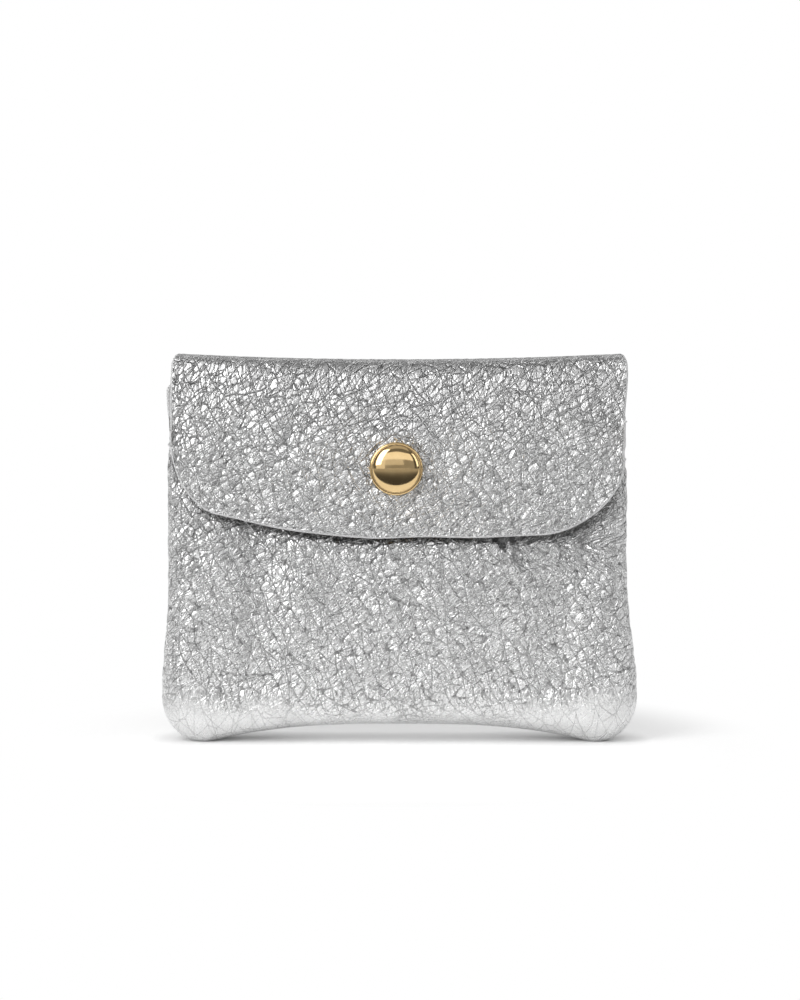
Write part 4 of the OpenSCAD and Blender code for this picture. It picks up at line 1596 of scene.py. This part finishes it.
def paleFloor():
    bm = bmesh.new()
    bmesh.ops.create_circle(bm, cap_ends=True, cap_tris=False, segments=96, radius=12.0)
    floor = placed(bm, "studio_floor")
    material = bpy.data.materials.new("paleFloor")
    tree = clearTree(material)
    paint = wire(tree, "ShaderNodeBsdfDiffuse", {"Color": grey(studio["floorWhite"])})
    # the floor glows besides being lit, so that it stays white, and ambient occlusion dims the glow close
    # to the purse: a painted contact shadow
    near = wire(tree, "ShaderNodeAmbientOcclusion", {"Distance": studio["shadeReach"]}, samples=8)
    level = maths(tree, "MULTIPLY", near.outputs["AO"], studio["floorGlow"])
    glow = wire(tree, "ShaderNodeEmission", {"Color": grey(1.0), "Strength": level})
    lit = wire(tree, "ShaderNodeAddShader", {0: paint.outputs[0], 1: glow.outputs[0]})
    away = fromMiddle(tree, studio["whiteFrom"], studio["whiteAt"])
    seen = maths(tree, "MULTIPLY", cameraOnly(tree), away)
    both = whiteWhere(tree, "ShaderNodeEmission", lit, seen)
    addOutput(tree, "ShaderNodeOutputMaterial", both)
    floor.data.materials.append(material)


# Each lamp: its place, what it points at, its width and height, and its power in watts.
lamps = {
    "key": ((-0.62, -0.57, 0.56), (0.0, 0.0, 0.05), 0.5, 0.85, 5.4),
    "top": ((0.05, -0.25, 1.0), (0.0, 0.0, 0.05), 1.1, 0.6, 0.7),
    "fill": ((0.8, -0.28, 0.4), (0.0, 0.0, 0.05), 0.3, 0.6, 1.0),
}


def addLamp(name, place, aim, wide, tall, power):
    light = bpy.data.lights.new(name, "AREA")
    light.shape = "RECTANGLE"
    light.size, light.size_y = wide, tall
    light.energy = power
    lamp = bpy.data.objects.new(name, light)
    scene.collection.objects.link(lamp)
    lamp.location = place
    lamp.rotation_euler = (Vector(aim) - Vector(place)).to_track_quat("-Z", "Y").to_euler()


paleWorld()
paleFloor()
for name, values in lamps.items():
    addLamp(name, *values)

# The camera sees neither the cards nor the walls: they light the purse and show in its metal.
# The cards are a ceiling and the ground in front, each as middle, width, length and level.
cards = {
    "ceiling_card": ((0.0, -0.1, 1.3), 2.6, 2.9, 0.2),
    "front_ground": ((0.0, -0.7725, 0.002), 2.8, 1.375, (0.07, 0.42)),
}

# Each wall of the room: from and to degrees, low and high edge, distance and level.
walls = {
    "front": (-22.0, 14.0, 0.02, 0.17, 1.3, 0.34),
    "frontHigh": (-22.0, 14.0, 0.17, 0.44, 1.3, 0.7),
    "left": (-55.0, -22.0, 0.02, 0.75, 1.31, 0.92),
    "right": (14.0, 46.0, 0.02, 0.44, 1.31, 0.34),
    "farLeft": (-105.0, -55.0, 0.02, 1.3, 1.32, 0.14),
    "farRight": (46.0, 105.0, 0.02, 1.3, 1.32, 0.1),
    "above": (-40.0, 46.0, 0.44, 1.0, 1.3, 1.15),
    "back": (120.0, 240.0, 0.0, 0.7, 1.3, 0.32),
}


def wallFinish(name, level):
    material = bpy.data.materials.new(name)
    tree = clearTree(material)
    if isinstance(level, tuple):
        # from the first level near the purse to the second far from it
        level = fromMiddle(tree, studio["groundFrom"], studio["groundTo"], *level)
    glow = wire(tree, "ShaderNodeEmission", {"Color": grey(1.0), "Strength": level})
    addOutput(tree, "ShaderNodeOutputMaterial", glow)
    return material


def roomWall(name, start, end, low, high, far, level):
    bm = bmesh.new()
    turn = math.radians(start)
    foot = (far * math.sin(turn), -far * math.cos(turn))
    verts = [bm.verts.new((*foot, low)), bm.verts.new((*foot, high))]
    edge = bm.edges.new(verts)
    bmesh.ops.spin(
        bm,
        geom=verts + [edge],
        cent=(0, 0, 0),
        axis=(0, 0, 1),
        angle=math.radians(end - start),
        steps=24,
    )
    placeStage(bm, name, wallFinish(name, level))


def placeStage(bm, name, finish):
    made = placed(bm, name)
    made.data.materials.append(finish)
    made.visible_camera = False
    made.visible_shadow = False


def flatCard(name, middle, wide, tall, level):
    bm = bmesh.new()
    bmesh.ops.create_grid(bm, x_segments=1, y_segments=1, size=0.5)
    bmesh.ops.scale(bm, verts=bm.verts, vec=(wide, tall, 1.0))
    bmesh.ops.translate(bm, verts=bm.verts, vec=middle)
    placeStage(bm, name, wallFinish(name, level))


for name, values in walls.items():
    roomWall(name + "_wall", *values)
for name, values in cards.items():
    flatCard(name, *values)

# The camera's lens in millimetres, its distance, how far it looks down and what it looks at.
shot = {"lens": 100.0, "far": 0.66, "rise": 4.0, "aim": (0.0001, 0.0, 0.0575)}


def addCamera():
    lens = bpy.data.cameras.new("shotCamera")
    lens.lens = shot["lens"]
    lens.sensor_width = 36.0
    lens.clip_start = 0.01
    camera = bpy.data.objects.new("shotCamera", lens)
    scene.collection.objects.link(camera)
    rise = math.radians(shot["rise"])
    aim = Vector(shot["aim"])
    camera.location = aim + Vector((0.0, -math.cos(rise), math.sin(rise))) * shot["far"]
    camera.rotation_euler = (aim - camera.location).to_track_quat("-Z", "Y").to_euler()
    scene.camera = camera


addCamera()
scene.view_settings.view_transform = "Standard"
print("light and camera ready")

bpy.context.view_layer.update()
